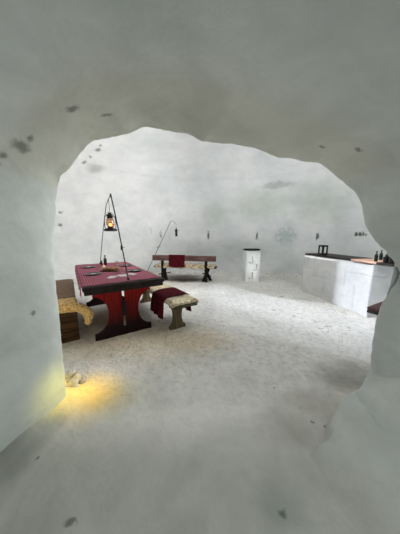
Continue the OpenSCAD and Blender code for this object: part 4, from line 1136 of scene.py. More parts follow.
onPlates = [sheetMesh(napkinGrid(x, y, 0.055, 0.05, k, 0.009), 0.002)
            for k, (x, y) in enumerate(laid["plates"])]
papers = [sheetMesh(napkinGrid(x, y, wide, long, k + 7, -0.001), 0.0015)
          for k, (x, y, wide, long) in enumerate(laid["papers"])]
napkinPiece = addPiece("napkins", joined(*onPlates, *papers), whitePaper, tablePlace)


def bottlePart(width, height, around=36):
    r = width / 2
    return lathe([(0, 0.0), (r * 0.92, 0.0), (r, 0.006), (r, height * 0.55), (r * 0.92, height * 0.62),
                  (r * 0.5, height * 0.72), (r * 0.36, height * 0.78), (r * 0.36, height * 0.93),
                  (r * 0.44, height * 0.94), (r * 0.44, height), (0, height)], around)


def glassPart(width, height):
    r = width / 2
    return lathe([(0, 0.0), (r * 0.8, 0.0), (r * 0.82, 0.004), (r, height), (r * 0.95, height),
                  (r * 0.77, 0.009), (0, 0.009)], 28)


def candlePart(width, height):
    return lathe([(0, 0), (width / 2, 0), (width / 2, height - 0.004), (width * 0.42, height),
                  (0.003, height - 0.003), (0.002, height + 0.012), (0, height + 0.012)], 24)


def flamePart(width, height):
    return lathe([(0, 0), (width * 0.35, height * 0.12), (width * 0.5, height * 0.32),
                  (width * 0.36, height * 0.62), (0.0006, height), (0, height)], 16)


addPiece("table_bottle", moved(bottlePart(0.058, 0.19), (*laid["bottle"], onCloth)), bottleGlass, tablePlace)
jar = lathe([(0, 0), (0.018, 0), (0.02, 0.003), (0.02, 0.06), (0.016, 0.066), (0.0165, 0.068), (0.0175, 0.07),
             (0.0175, 0.084), (0.016, 0.085), (0, 0.085)], 32)
addPiece("table_jar", moved(jar, (*laid["jar"], onCloth)), blackGlaze, tablePlace)
breadBoard = roundBox((-0.125, -0.085, 0), (0.125, 0.085, 0.018), 0.006, 0.05)
addPiece("bread_board", moved(breadBoard, (*laid["bread"], onCloth), laid["breadTurn"]), brownPine,
         tablePlace)
loaves = []
for k in range(7):
    bun = roundBox((-0.038, -0.026, 0), (0.038, 0.026, 0.040), 0.019, 0.016)
    spot = (-0.085 + 0.057 * (k % 4) + 0.02 * (k // 4), 0.036 - 0.072 * (k // 4), 0)
    loaves.append(moved(bun, spot, 25 * math.sin(2.1 * k)))
addPiece("bread", moved(joined(*loaves), (*laid["bread"], onCloth + 0.018), laid["breadTurn"]), crust,
         tablePlace, wobble=0.004)
addPiece("table_candle", moved(candlePart(0.04, 0.055), (*laid["candle"], onCloth)), beeswax, tablePlace)
addPiece("table_candle_flame", moved(flamePart(0.007, 0.018), (*laid["candle"], onCloth + 0.062)), flameGlow,
         tablePlace)
glasses = [moved(glassPart(0.062, 0.075), (x, y, onCloth)) for x, y in laid["glasses"]]
addPiece("table_glasses", joined(*glasses), clearGlass, tablePlace)
print("table laid")

# lantern stand and hurricane lantern on the table
stand = {"rod": 0.008, "nearFoot": (0.038, -0.924, 0), "farFoot": (-0.05, 0.96, 0),
         "nearTip": (0.05, -0.05, 1.185), "farTip": (0.03, 0.30, 1.055), "hook": (0.042, 0.0935, 0.936),
         "lantern": (0.10, 0.31)}


def bentRod(start, end, radius, sway, count=24):
    t = np.linspace(0, 1, count)[:, None]
    line = np.array(start) + (np.array(end) - np.array(start)) * t
    line[:, 0] += sway * np.sin(t[:, 0] * math.pi)
    return tube(line, radius, 12)


def buildStand():
    lift = np.array([0, 0, onCloth])
    nearFoot, farFoot = np.array(stand["nearFoot"]) + lift, np.array(stand["farFoot"]) + lift
    nearTip, farTip, hook = (np.array(stand[k]) + lift for k in ("nearTip", "farTip", "hook"))
    middle = nearTip + (farTip - nearTip) * 0.41
    foot = lathe([(0, 0), (0.023, 0), (0.023, 0.003), (0.012, 0.008), (0.0095, 0.03), (0, 0.03)], 24)
    grip = lathe([(0, -0.03), (0.013, -0.03), (0.014, -0.02), (0.014, 0.02), (0.013, 0.03), (0, 0.03)], 20)
    sleeve = lathe([(0, -0.05), (0.011, -0.05), (0.0125, -0.02), (0.0125, 0.0), (0, 0.002)], 16)
    clamp = nearFoot + (nearTip - nearFoot) * 0.33
    parts = [moved(foot, nearFoot), moved(foot, farFoot),
             bentRod(nearFoot + [0, 0, 0.004], nearTip, stand["rod"] * np.linspace(0.9, 1.15, 24), 0.006),
             bentRod(farFoot + [0, 0, 0.004], farTip, stand["rod"] * 0.75, -0.008), moved(grip, clamp),
             tube([clamp, clamp + [0.035, 0.0, 0.004]], 0.004, 10), moved(sleeve, nearTip)]
    parts.append(tube([nearTip + [0, 0, -0.01], middle + [0, 0, 0.004], farTip], 0.0055, 10))
    ring = [middle, middle * 0.6 + hook * 0.4, hook + [0, 0.004, 0.03], hook + [0, 0.014, 0.012],
            hook + [0, 0, 0.0015]]
    parts.append(tube(ring, 0.0038, 10))
    return joined(*parts)


addPiece("table_lantern_stand", buildStand(), blackIron, tablePlace, ["lantern_stand"])


def buildLantern(r, height):  # tank, burner, globe cage, side tubes, chimney and bail, from its underside
    tank = lathe([(0, 0), (r * 0.92, 0), (r, 0.006), (r, height * 0.09), (r * 0.9, height * 0.125),
                  (r * 0.45, height * 0.16), (r * 0.42, height * 0.2), (r * 0.5, height * 0.22),
                  (r * 0.5, height * 0.235), (0, height * 0.235)], 48)
    cap = lathe([(0, height * 0.66), (r * 0.5, height * 0.66), (r * 0.52, height * 0.68),
                 (r * 0.42, height * 0.72), (r * 0.36, height * 0.8), (r * 0.58, height * 0.815),
                 (r * 0.6, height * 0.83), (r * 0.3, height * 0.88), (r * 0.24, height * 0.95),
                 (0, height * 0.96)], 40)
    parts = [tank, cap]
    for s in (-1, 1):
        t = np.linspace(0, 1, 20)
        x = s * r * (0.86 + 0.12 * np.sin(t * math.pi))
        z = height * (0.1 + 0.62 * t)
        top = np.array([[s * r * 0.7, 0, height * 0.765], [s * r * 0.4, 0, height * 0.775]])
        parts.append(tube(np.concatenate([np.stack([x, 0 * x, z], -1), top]), 0.0065, 12))
    for level in (0.34, 0.46, 0.58):  # wire guard round the globe
        a = np.linspace(0, 2 * math.pi, 41)
        parts.append(tube(np.stack([r * 0.72 * np.cos(a), r * 0.72 * np.sin(a), height * level + 0 * a], -1),
                          0.0016, 8))
    a = np.linspace(0, math.pi, 24)
    parts.append(tube(np.stack([r * 0.95 * np.cos(a), 0 * a, height * (0.62 + 0.375 * np.sin(a))], -1),
                      0.0022, 8))
    return joined(*parts)


lanternLow = onCloth + stand["hook"][2] - stand["lantern"][1]
lanternAt = (stand["hook"][0], stand["hook"][1], lanternLow)
addPiece("hurricane_lantern", moved(buildLantern(*stand["lantern"]), lanternAt, 20), blackIron, tablePlace,
         ["table_lantern"])
globe = [(0.042, 0.0705), (0.057, 0.090), (0.063, 0.120), (0.059, 0.16), (0.046, 0.2035), (0.044, 0.2035),
         (0.057, 0.16), (0.061, 0.120), (0.055, 0.090), (0.040, 0.0705)]  # up the outside, down the inside
globePoints, globeFaces = lathe(globe, 48)
globeFaces = globeFaces[:-2]
for j in range(48):
    globeFaces.append([9 * 48 + j, 9 * 48 + (j + 1) % 48, (j + 1) % 48, j])
addPiece("lantern_globe", moved((globePoints, globeFaces), lanternAt), sootedGlass, tablePlace,
         ["lantern_glass"])
addPiece("lantern_flame", moved(flamePart(0.026, 0.05), (*lanternAt[:2], lanternLow + 0.075)), flameGlow,
         tablePlace)
print("lantern hung")

# benches at the table
seatHeight, seatBoard = 0.45, 0.04
rightBench = {"spot": (0.675, -1.277), "length": 1.9, "width": 0.34, "legIn": 0.26, "legThick": 0.045}
leftBench = {"spot": (-0.71, -0.63), "length": 1.9, "width": 0.36}


def atTable(spot):  # turns a place in the table's own directions into one in the part's frame
    a = math.radians(table["turn"])
    return (table["spot"][0] + spot[0] * math.cos(a) - spot[1] * math.sin(a),
            table["spot"][1] + spot[0] * math.sin(a) + spot[1] * math.cos(a), floorLevel)


rightPlace = (atTable(rightBench["spot"]), table["turn"])
leftPlace = (atTable(leftBench["spot"]), table["turn"])
half = rightBench["width"] / 2
seat = roundBox((-half, 0, seatHeight - seatBoard), (half, rightBench["length"], seatHeight), 0.008, 0.1)
addPiece("right_bench_board", seat, greyPine, rightPlace, ["right_bench_seat"], 0.002)
legOutline = trestleOutline(0.23, 0.13, 0.25, seatHeight - seatBoard, 0.06, 0.06)
benchLeg = slab(legOutline, rightBench["legThick"], 0.005)
legPlaces = (rightBench["legIn"], rightBench["length"] - rightBench["legIn"])
rightLegs = [moved(benchLeg, (0, y + rightBench["legThick"] / 2, 0)) for y in legPlaces]
addPiece("right_bench_legs", joined(*rightLegs), greyLeg, rightPlace, ["right_bench_trestles"])


def fleecePad(low, high, radius, seed, sag=0.0, halfSeat=0.17, cell=0.014, lump=0.008):
    points, faces = roundBox(low, high, radius, cell)
    beyond = np.maximum(np.abs(points[:, 0]) - halfSeat + 0.01, 0)
    points[:, 2] -= beyond * sag + beyond ** 2 * sag * 8
    middle = (np.array(low) + np.array(high)) / 2
    out = unit((points - middle) / (np.array(high) - np.array(low)))
    top = smooth((points[:, 2] - low[2] + 0.01) / 0.02)
    curl = lump * lattice(points, 0.035, seed) + 0.5 * lump * lattice(points, 0.016, seed + 1)
    wave = 1.4 * lump * lattice(points * [1, 1, 0], 0.13, seed + 2)
    rise = np.stack([0 * wave, 0 * wave, wave * top * 0.6], -1)
    return points + out * (curl * top)[:, None] * [1, 1, 0.7] + rise, faces


fleece = fleecePad((-0.20, 0.0, seatHeight + 0.0003), (0.20, 1.18, seatHeight + 0.042), 0.02, 71, 0.5,
                   lump=0.012)
rightFleece = addPiece("right_bench_sheepskin", fleece, creamFleece, rightPlace, ["right_sheepskin"])


def drapedBlanket(path, ys, skew, seed, thickness=0.014):
    path = softened(alongLine(path, 64), 2)
    share = np.linspace(0, 1, len(path))
    x, y = np.meshgrid(path[:, 0], ys, indexing="ij")
    grid = np.stack([x, y + skew * (share - 0.5)[:, None], np.meshgrid(path[:, 1], ys, indexing="ij")[0]], -1)
    ends = np.abs(share - 0.5)[:, None] * 2
    fold = 0.010 * np.sin(grid[..., 1] * 38 + seed) * smooth((ends - 0.35) / 0.5)
    grid = grid + gridNormals(grid) * fold[..., None]
    grid[..., 2] += 0.003 * lattice(grid, 0.07, seed)
    return sheetMesh(grid, thickness)


blanketPath = [(0.245, 0.20), (0.232, 0.28), (0.218, 0.36), (0.214, 0.44), (0.205, 0.485), (0.17, 0.507),
               (0.05, 0.512), (-0.08, 0.512), (-0.17, 0.507), (-0.205, 0.49), (-0.222, 0.45), (-0.235, 0.36),
               (-0.25, 0.27), (-0.255, 0.22)]
blanket = drapedBlanket(blanketPath, steps(0.27, 0.69, 0.012), -0.08, 5)
rightBlanket = addPiece("right_bench_blanket", blanket, burgundyWool, rightPlace, ["right_blanket"])

half, long = leftBench["width"] / 2, leftBench["length"]
boardHigh = (seatHeight - seatBoard - 0.04) / 3
parts = []
for k in range(3):
    x = -half + k * 0.12
    parts.append(roundBox((x, 0, seatHeight - seatBoard), (x + 0.117, long, seatHeight), 0.005, 0.2))
for y in (0.03, long - 0.08):
    for k in range(3):
        low = 0.01 + k * (boardHigh + 0.01)
        parts.append(roundBox((-half + 0.005, y, low), (half - 0.005, y + 0.05, low + boardHigh),
                              0.007, 0.06))
    for x in (-0.11, 0.07):
        parts.append(roundBox((x, y + 0.05, 0), (x + 0.05, y + 0.1, seatHeight - seatBoard), 0.004, 0.1))
addPiece("left_bench_boards", joined(*parts), brownPine, leftPlace, ["left_bench"], 0.0015)
hide = fleecePad((-0.175, 0.40, seatHeight + 0.0003), (0.175, 1.87, seatHeight + 0.04), 0.016, 81, 0.2, 0.16,
                 0.02, 0.004)
leftHide = addPiece("left_bench_hide", hide, hideHair, leftPlace, ["left_hide"])


def roughTube(line, radius, around, relief):  # a tube whose skin stands out by relief at each point
    points, faces = tube(line, radius, around)
    return points + unit(points - np.repeat(line, around, 0)) * relief(points)[:, None], faces


def fleeceRoll(path, radius, seed):
    return roughTube(softened(alongLine(path, 70), 3), radius, 40,
                     lambda p: 0.009 * lattice(p, 0.03, seed) + 0.005 * lattice(p, 0.014, seed + 1))


pad = fleecePad((-0.185, -0.035, seatHeight + 0.0003), (0.185, 0.42, seatHeight + 0.04), 0.018, 91, 0.4, 0.17,
                0.014, 0.008)
rollRadius = np.concatenate([np.linspace(0.024, 0.050, 20), np.full(38, 0.056),
                             np.linspace(0.056, 0.034, 12)])
roll = fleeceRoll([(-0.19, -0.012, 0.470), (-0.05, -0.014, 0.474), (0.10, -0.010, 0.474),
                   (0.20, -0.004, 0.455), (0.268, 0.000, 0.40), (0.300, 0.004, 0.33), (0.298, 0.010, 0.26),
                   (0.265, 0.016, 0.215)], rollRadius, 95)
goldSkin = addPiece("left_bench_sheepskin", joined(pad, roll), goldFleece, leftPlace, ["left_sheepskin"])
print("benches at the table made")

# bench with a backrest at the back of the hall
backBench = {"spot": (-0.775, 1.6, floorLevel), "turn": -11, "end": 0.95, "legIn": 0.29}
backPlace, end = (backBench["spot"], backBench["turn"]), backBench["end"]
backBoards = joined(roundBox((-end, -0.06, 0.625), (end, -0.026, 0.785), 0.008, 0.12),
                    roundBox((-end, 0.0, 0.41), (end, 0.16, 0.45), 0.008, 0.15),
                    roundBox((-end, 0.165, 0.41), (end, 0.34, 0.45), 0.008, 0.15))
addPiece("back_bench_backrest", backBoards, mauveBoard, backPlace, ["back_bench"], 0.004)


def logLeg(start, end, radius, seed):
    t = np.linspace(0, 1, 14)[:, None]
    line = np.array(start) + (np.array(end) - np.array(start)) * t
    return roughTube(line, radius * (1.08 - 0.16 * t[:, 0]), 14,
                     lambda p: 0.006 * lattice(p * [1, 1, 0.4], 0.05, seed))


legs = []
for x, s in ((-end + backBench["legIn"], 1), (end - backBench["legIn"], -1)):
    legs += [logLeg((x, -0.006, 0.0), (x, -0.004, 0.76), 0.042, 101),
             logLeg((x + 0.10 * s, 0.05, 0.0), (x - 0.07 * s, 0.27, 0.43), 0.044, 102),
             logLeg((x - 0.10 * s, 0.29, 0.0), (x + 0.07 * s, 0.07, 0.43), 0.044, 103),
             logLeg((x - 0.14 * s, 0.03, 0.19), (x + 0.15 * s, 0.27, 0.22), 0.018, 104)]
backLegs = joined(*legs)
backLegs[0][:, 2] = np.maximum(backLegs[0][:, 2], 0)
addPiece("back_bench_legs", backLegs, shadedLogLeg, backPlace)
skin, skinFaces = fleecePad((-0.89, -0.03, 0.4503), (0.89, 0.37, 0.50), 0.02, 111, 0.0, 0.9, 0.016, 0.011)
locks = 0.045 + 0.045 * lattice(skin * [1, 0, 0], 0.10, 113) + 0.02 * lattice(skin * [1, 0, 0], 0.03, 114)
skin[:, 2] -= np.maximum(locks, 0) * smooth((0.004 - skin[:, 1]) / 0.02)  # locks hang over the edge
backFleece = addPiece("back_bench_sheepskin", (skin, skinFaces), ruffledFleece, backPlace, ["back_sheepskin"])
hungPath = [(-0.075, 0.45), (-0.0745, 0.55), (-0.073, 0.70), (-0.071, 0.78), (-0.062, 0.7945),
            (-0.043, 0.797), (-0.024, 0.7945), (-0.0145, 0.78), (-0.0135, 0.72), (-0.0135, 0.66)]


def hungBlanket():
    path = softened(alongLine(hungPath, 60), 1)
    xs = steps(-0.43, 0.05, 0.012)
    grid = np.zeros((len(path), len(xs), 3))
    grid[..., 0] = xs[None, :]
    grid[..., 1] = path[:, :1]
    grid[..., 2] = path[:, 1:]
    low = smooth((0.74 - grid[..., 2]) / 0.3) * (grid[..., 1] < -0.05)
    grid[..., 1] -= 0.010 * (1 + np.sin(grid[..., 0] * 30 + 1)) * low
    grid[..., 2] += 0.012 * lattice(grid * [1, 0, 0], 0.2, 9) * low
    return sheetMesh(grid, 0.012)


backBlanket = addPiece("back_bench_blanket", hungBlanket(), burgundyWool, backPlace, ["back_blanket"])
print("back bench made")

# leaning pole with its lantern
pole = {"foot": (-2.1, 2.1, floorLevel), "tip": (-1.19, 2.1, 2.0),
        "bends": [(-1.16, 2.1, 2.005), (-1.08, 2.1, 1.95)], "arm": (-1.035, 2.1, 1.89), "radius": 0.010,
        "clamp": 0.56, "cord": 0.10, "lantern": 0.26}
foot, tip, arm = (np.array(pole[k]) for k in ("foot", "tip", "arm"))
clampAt = foot + (tip - foot) * pole["clamp"]
poleParts = joined(
    tube([foot + unit(tip - foot) * t for t in np.linspace(0.0, np.linalg.norm(tip - foot), 24)],
         pole["radius"]),
    tube([tip, *pole["bends"], arm], 0.0065, 10),
    tube([clampAt - [0.06, 0, 0.02], clampAt + [0.06, 0, 0.02]], 0.010, 12),
    tube([arm + [0, 0, 0.004], arm - [0, 0, 0.05], arm - [0, 0, 0.1002]], 0.003, 10),
    moved(lathe([(0, 0), (0.03, 0), (0.03, 0.008), (0.015, 0.02), (0, 0.02)], 24), foot))
addPiece("leaning_pole", poleParts, dullZinc, replaced=["lantern_pole"])
smallLow = arm[2] - pole["cord"] - pole["lantern"] - 0.0003


def buildSmallLantern():
    parts = [lathe([(0, 0), (0.046, 0), (0.0475, 0.006), (0.044, 0.018), (0.024, 0.025), (0, 0.025)], 40),
             lathe([(0, 0.165), (0.055, 0.165), (0.0575, 0.172), (0.030, 0.205), (0.014, 0.235),
                    (0.012, 0.26), (0, 0.26)], 40)]
    for a in (45, 135, 225, 315):
        c, s = 0.036 * math.cos(math.radians(a)), 0.036 * math.sin(math.radians(a))
        parts.append(tube([(c, s, 0.012), (c * 1.1, s * 1.1, 0.09), (c * 1.1, s * 1.1, 0.17)], 0.004, 8))
    return joined(*parts)


addPiece("pole_lantern_frame", moved(buildSmallLantern(), (*arm[:2], smallLow)), blackIron,
         replaced=["pole_lantern"])
addPiece("pole_lantern_candle", moved(candlePart(0.024, 0.05), (*arm[:2], smallLow + 0.0252)), beeswax)
smallGlass = lathe([(0.030, 0.024), (0.034, 0.03), (0.035, 0.09), (0.032, 0.164), (0.029, 0.164),
                    (0.032, 0.09), (0.031, 0.03), (0.028, 0.024)], 32)
addPiece("pole_lantern_glass", moved(smallGlass, (*arm[:2], smallLow)), bottleGlass)
print("pole made")

# bar of snow blocks, pedestal, stool and snow lamp
counter = {"spot": (2.592, -0.201, floorLevel), "turn": 8.4, "length": 1.70, "depth": 0.56, "height": 0.9,
           "edge": 0.022, "board": 0.035, "boardHalf": 0.26, "overhang": 0.40, "lantern": (-0.175, 0.37)}
counterJoints = [  # on the front: along y, height, half length, upright or level, depth
    (-0.60, 0.70, 0.26, "level", 0.012), (-0.35, 0.59, 0.15, "upright", 0.014),
    (-0.56, 0.26, 0.21, "upright", 0.014), (-0.25, 0.53, 0.10, "level", 0.012),
    (-0.45, 0.23, 0.10, "level", 0.012), (0.30, 0.45, 0.45, "level", 0.010),
    (0.45, 0.68, 0.20, "upright", 0.010), (0.15, 0.24, 0.20, "upright", 0.010),
]


def buildCounter():
    d, l, h = counter["depth"] / 2, counter["length"] / 2, counter["height"]
    e = counter["edge"]
    points, faces = roundBox((-d, -l, 0), (d, l, h), e, 0.02)
    out = unit(points - np.clip(points, [-d + e, -l + e, e], [d - e, l - e, h - e]))
    deep = 0.008 * lattice(points, 0.22, 121) + 0.004 * lattice(points, 0.06, 122) - 0.008
    for y, z, reach, way, cut in counterJoints:
        fromY, fromZ = points[:, 1] - y, points[:, 2] - z
        along, off = (fromY, fromZ) if way == "level" else (fromZ, fromY)
        groove = (1 - smooth((np.abs(off) - 0.005) / 0.014)) * (1 - smooth((np.abs(along) - reach) / 0.03))
        deep = deep - cut * groove * (points[:, 0] < 0)
    # a shallow notch under the board
    notch = 1 - smooth((np.abs(points[:, 1] + 0.64) - 0.14) / 0.02)
    notch = notch * smooth((points[:, 2] - h + 0.03) / 0.008)
    deep = deep - 0.03 * notch * (points[:, 0] < 0)
    points = points + out * deep[:, None]
    points[:, 2] = np.maximum(points[:, 2], 0)
    return points, faces


turned = math.radians(counter["turn"])
frontX = counter["spot"][0] - math.cos(turned) * counter["depth"] / 2
frontY = counter["spot"][1] - math.sin(turned) * counter["depth"] / 2
# painted shade in the joints between the sawn blocks, on the bar's front
blockJoints = [((frontX - y * math.sin(turned), frontY + y * math.cos(turned), floorLevel + z),
                (0.12, reach, 0.014) if way == "level" else (0.12, 0.016, reach))
               for y, z, reach, way, cut in counterJoints]
cutSnow = packedSnow("packed snow, sawn blocks", "#e5e4e2", "#d3d4d4", 60, 0.01, streaks=0.5,
                     slots=blockJoints, holeShadeTone="#a2a9b3")
counterPlace = (counter["spot"], counter["turn"])
addPiece("bar_of_snow", buildCounter(), cutSnow, counterPlace, ["bar_counter"])
top, nearEnd = counter["height"], counter["length"] / 2
planks = [(-0.41, nearEnd - 0.02, 0), (-0.86, -0.4115, 1),
          (-nearEnd + 0.02 - counter["overhang"], -0.8615, 0)]
boards, tones = [], []  # each plank from y to y, dark, or pale where sunlight is painted on the dark pine
for start, stop, tone in planks:
    boards.append(roundBox((-counter["boardHalf"], start, top),
                           (counter["boardHalf"], stop, top + counter["board"]), 0.006, 0.2))
    tones += [tone] * len(boards[-1][1])
addPiece("bar_board", joined(*boards), [darkPine, sunlitPinePainted], counterPlace, ["counter_board"],
         0.0015, index=tones)
ware = top + counter["board"] + 0.0006
frameLantern = [roundBox((-0.065, -0.065, 0), (0.065, 0.065, 0.03), 0.004, 0.1),
                roundBox((-0.065, -0.065, 0.175), (0.065, 0.065, 0.21), 0.004, 0.1)]
for x, y in ((-0.053, -0.053), (-0.053, 0.053), (0.053, -0.053), (0.053, 0.053)):
    frameLantern.append(roundBox((x - 0.012, y - 0.012, 0.014), (x + 0.012, y + 0.012, 0.194), 0.003, 0.1))
addPiece("bar_lantern_frame", moved(joined(*frameLantern), (*counter["lantern"], ware)), blackIron,
         counterPlace, ["counter_ware"])
addPiece("bar_lantern_candle", moved(candlePart(0.05, 0.08), (*counter["lantern"], ware + 0.0302)), brownWax,
         counterPlace)
bottleSpots = [(-0.185, 0.06 - nearEnd), (0.097, 0.22 - nearEnd), (-0.06, -nearEnd)]
addPiece("bar_bottles", joined(*[moved(bottlePart(0.048, 0.17), (x, y, ware)) for x, y in bottleSpots]),
         bottleGlass, counterPlace)
tumblers = [moved(glassPart(0.07, 0.09), (-0.19 + 0.095 * (k % 3), -0.09 - nearEnd - 0.085 * (k // 3), ware))
            for k in range(7)]
addPiece("bar_tumblers", joined(*tumblers), blackGlaze, counterPlace)


pedestal = {"spot": (1.225, 1.71, floorLevel), "width": 0.44, "height": 0.93, "tray": 0.25,
            "hollows": ((-0.06, 0.66), (0.07, 0.45), (-0.05, 0.2))}


def buildPedestal():
    half, h = pedestal["width"] / 2, pedestal["height"]
    points, faces = roundBox((-half, -half + 0.01, 0), (half, half - 0.01, h), 0.035, 0.011)
    out = unit(points - np.clip(points, [-half + 0.035, -half + 0.045, 0.035],
                                [half - 0.035, half - 0.045, h - 0.035]))
    deep = 0.01 * lattice(points, 0.2, 131) + 0.004 * lattice(points, 0.05, 132) - 0.01
    front = points[:, 1] < -0.1
    for x, z in pedestal["hollows"]:  # hooked hollows cut in the front
        stem = np.maximum(np.abs(points[:, 0] - x - 0.03) / 0.026, np.abs(points[:, 2] - z) / 0.085)
        hookPart = np.maximum(np.abs(points[:, 0] - x) / 0.058, np.abs(points[:, 2] - z + 0.065) / 0.028)
        deep = deep - 0.09 * (1 - smooth((np.minimum(stem, hookPart) - 0.85) / 0.25)) * front
    points = points + out * deep[:, None]
    points[:, 2] = np.maximum(points[:, 2], 0)
    return points, faces


trayR, pedestalPlace = pedestal["tray"], (pedestal["spot"], 0)
tray = lathe([(0, 0), (trayR - 0.022, 0), (trayR - 0.002, 0.012), (trayR, 0.030), (trayR - 0.004, 0.032),
              (trayR - 0.012, 0.016), (trayR - 0.032, 0.012), (0, 0.010)], 64)
addPiece("pedestal_of_snow", buildPedestal(), wallSnow, pedestalPlace, ["pedestal"])
addPiece("pedestal_fire_tray", moved(tray, (0, 0, pedestal["height"])), blackIron, pedestalPlace,
         ["pedestal_tray"])

stool = {"spot": (2.043, -1.882, floorLevel), "turn": 29, "long": 0.24, "wide": 0.17, "under": 0.41,
         "top": 0.45, "coverLong": 0.245, "coverWide": 0.175, "legs": 0.1}
stoolPlace, coverLong, coverWide = (stool["spot"], stool["turn"]), stool["coverLong"], stool["coverWide"]
seat = roundBox((-stool["long"], -stool["wide"], stool["under"]),
                (stool["long"], stool["wide"], stool["top"]), 0.006, 0.1)
stoolLeg = moved(slab(trestleOutline(0.145, 0.11, 0.18, stool["under"], 0.05, 0.05), 0.045, 0.005), turn=90)
stoolLegs = [moved(stoolLeg, (x, 0, 0)) for x in (-stool["legs"], stool["legs"])]
addPiece("stool_frame", joined(seat, *stoolLegs), darkPine, stoolPlace, ["bar_stool"])
cushion, cushionFaces = roundBox((-coverLong, -coverWide, 0.4503), (coverLong, coverWide, 0.494), 0.018, 0.02)
domes = [np.maximum(0, 1 - (cushion[:, k] / reach) ** 2) for k, reach in enumerate((coverLong, coverWide))]
cushion[:, 2] += (cushion[:, 2] > 0.48) * (0.012 * (domes[0] * domes[1]) - 0.008)
stoolTop = addPiece("stool_cushion", (cushion, cushionFaces), darkRedCover, stoolPlace, ["stool_cover"])


def snowBall(place, radius, seed):
    bm = bmesh.new()
    bmesh.ops.create_icosphere(bm, subdivisions=3, radius=radius)
    points = np.array([v.co[:] for v in bm.verts])
    faces = [[v.index for v in f.verts] for f in bm.faces]
    bm.free()
    spot = np.array(place)
    at = points + spot
    lumpy = 1 + 0.16 * lattice(at, radius * 0.9, seed) + 0.07 * lattice(at, radius * 0.4, seed + 1)
    return points * lumpy[:, None] + spot, faces


snowLamp = {
    "spot": (-1.443, -2.575, floorLevel), "lowRadius": 0.038, "highRadius": 0.03, "highFrom": 0.1,
    "lumps": [(-0.045, -0.045, 0.032), (0.045, -0.05, 0.03), (0.06, 0.035, 0.03), (-0.02, 0.062, 0.032),
              (-0.065, 0.02, 0.03), (0.0, -0.06, 0.05), (-0.03, -0.035, 0.088), (0.04, -0.015, 0.09),
              (0.005, 0.045, 0.09), (-0.045, 0.022, 0.085), (0.0, -0.005, 0.128), (0.03, -0.045, 0.07),
              (-0.015, -0.02, 0.135)],
}
lumps = []
for k, p in enumerate(snowLamp["lumps"]):
    lumps.append(snowBall(p, snowLamp["lowRadius" if p[2] < snowLamp["highFrom"] else "highRadius"], 140 + k))
lampPart = joined(*lumps)
lampPart[0][:, 2] = np.maximum(lampPart[0][:, 2], 0)
lumpSnow = packedSnow("packed snow, hand-made lumps", "#e6eaec", "#989c9c", 14, 0.03, streaks=1.0)
addPiece("snow_lamp_lumps", lampPart, lumpSnow, (snowLamp["spot"], 0), ["snow_lamp"])
print("bar, pedestal, stool and snow lamp made")

# stage and lights
stageFloor = bpy.data.meshes.new("stage_floor")
stageFloor.from_pydata([(-60, -60, -0.002), (60, -60, -0.002), (60, 60, -0.002), (-60, 60, -0.002)], [],
                       [(0, 1, 2, 3)])
# painted studio floor: pale, matt and even
stageFloor.materials.append(newMaterial("pale studio ground", Roughness=0.9, Base_Color=rgba("#e9e9e7"))[0])
stageObject = bpy.data.objects.new("stage_floor", stageFloor)
scene.collection.objects.link(stageObject)

world = bpy.data.worlds.new("studio")
world.use_nodes = True
scene.world = world
sky = world.node_tree.nodes["Background"]
sky.inputs["Color"].default_value = rgba("#eef3f2")
sky.inputs["Strength"].default_value = 0.97


def addLight(name, kind, place, target, energy, colour, **settings):
    data = bpy.data.lights.new(name, kind)
    data.energy = energy
    data.color = rgba(colour)[:3]
    for key, value in settings.items():
        setattr(data, key, value)
    lamp = bpy.data.objects.new(name, data)
    lamp.location = place
    lamp.rotation_mode = "QUATERNION"
    lamp.rotation_quaternion = (Vector(target) - Vector(place)).to_track_quat("-Z", "Y")
    lamp.visible_camera = False
    scene.collection.objects.link(lamp)
    return lamp


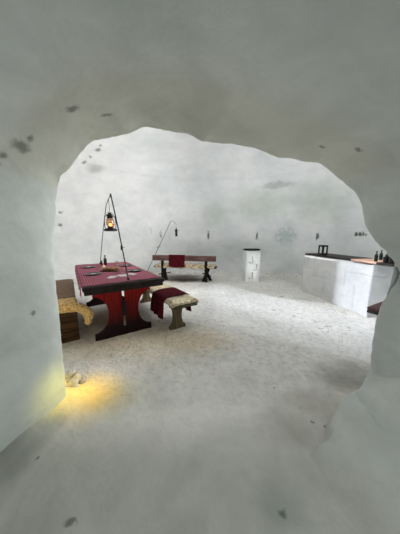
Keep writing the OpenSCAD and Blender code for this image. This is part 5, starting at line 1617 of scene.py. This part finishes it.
addLight("hall_top", "AREA", (0, 0.8, 3.35), (0, 0.8, 0), 13, "#f4f6f8", shape="ELLIPSE", size=4.6,
         size_y=1.6)
addLight("floor_bounce", "AREA", (0.6, 0.0, 1.05), (0.6, 0.01, 3.0), 32, "#f5f7f8", shape="ELLIPSE", size=3.6,
         size_y=2.4)
addLight("left_wall_wash", "AREA", (0.2, -0.5, 2.2), (-4.0, 0.7, 1.35), 40, "#faf8f6", shape="DISK", size=1.2,
         spread=math.radians(130))
addLight("right_end_fill", "AREA", (2.3, -1.7, 1.9), (3.8, 0.6, 1.2), 12.5, "#f4f7f5", shape="DISK", size=0.7)
addLight("reveal_glow", "AREA", (0.9, -1.9, 1.5), (-1.7, -3.4, 1.1), 2.5, "#f3f7f4", shape="DISK", size=0.7,
         spread=math.radians(90))
addLight("jamb_edge_glow", "AREA", (0.3, -1.2, 1.4), (-1.41, -2.33, 1.0), 3.6, "#f7f8f5", shape="RECTANGLE",
         size=0.3, size_y=1.7, spread=math.radians(34))
# daylight from the back left: a straight edge on the floor that climbs the bar
beam = {"colour": "#e8efff", "spread": 5}
beamParts = [  # the panel's right end, the way it shines, its fall, width, height, power
    ((0.36, 1.12), (0.70, -0.714), 0.45, 1.25, 2.4, 5.2),
    ((0.36, 1.12), (0.70, -0.714), 0.45, 1.65, 2.4, 2.1),
    ((0.348, 0.471), (0.91, -0.42), 0.45, 1.9, 2.4, 5.6),
    ((0.348, 0.51), (0.91, -0.42), 0.03, 1.94, 0.95, 3.2),
]
for start, heading, fall, width, tall, energy in beamParts:
    way = Vector((*heading, -fall)).normalized()
    centre = Vector(start) + Vector((heading[1], -heading[0])) * width / 2
    place = Vector((*centre, floorLevel + 0.03 + tall / 2))
    addLight("daylight_beam", "AREA", place, place + way, energy, beam["colour"], shape="RECTANGLE",
             size=width, size_y=tall, spread=math.radians(beam["spread"]))
addLight("pedestal_glow", "AREA", (1.0, -0.3, 1.2), (1.225, 1.5, 0.68), 0.4, "#f6f6f2", shape="RECTANGLE",
         size=0.3, size_y=0.7, spread=math.radians(15))
lanternSpot = atTable(lanternAt)
addLight("lantern_light", "POINT", (lanternSpot[0], lanternSpot[1], floorLevel + lanternLow + 0.1), (0, 0, 0),
         5, "#ffb464", shadow_soft_size=0.02)
addLight("snow_lamp_light", "POINT", (-1.50, -2.68, 0.28), (0, 0, 0), 0.5, "#ffd030", shadow_soft_size=0.015)
addLight("snow_lamp_pool", "AREA", (-1.25, -2.63, 0.60), (-1.29, -2.68, 0), 0.33, "#ffc848", shape="DISK",
         size=0.06, spread=math.radians(90))
addLight("snow_lamp_jamb", "AREA", (-1.02, -2.95, 0.5), (-1.41, -2.84, 0.42), 0.16, "#fff25a", shape="DISK",
         size=0.1, spread=math.radians(75))
addLight("outside_key", "SUN", (-6, -8, 9), (0, 0, 0), 0.7, "#ffffff", angle=0.3)
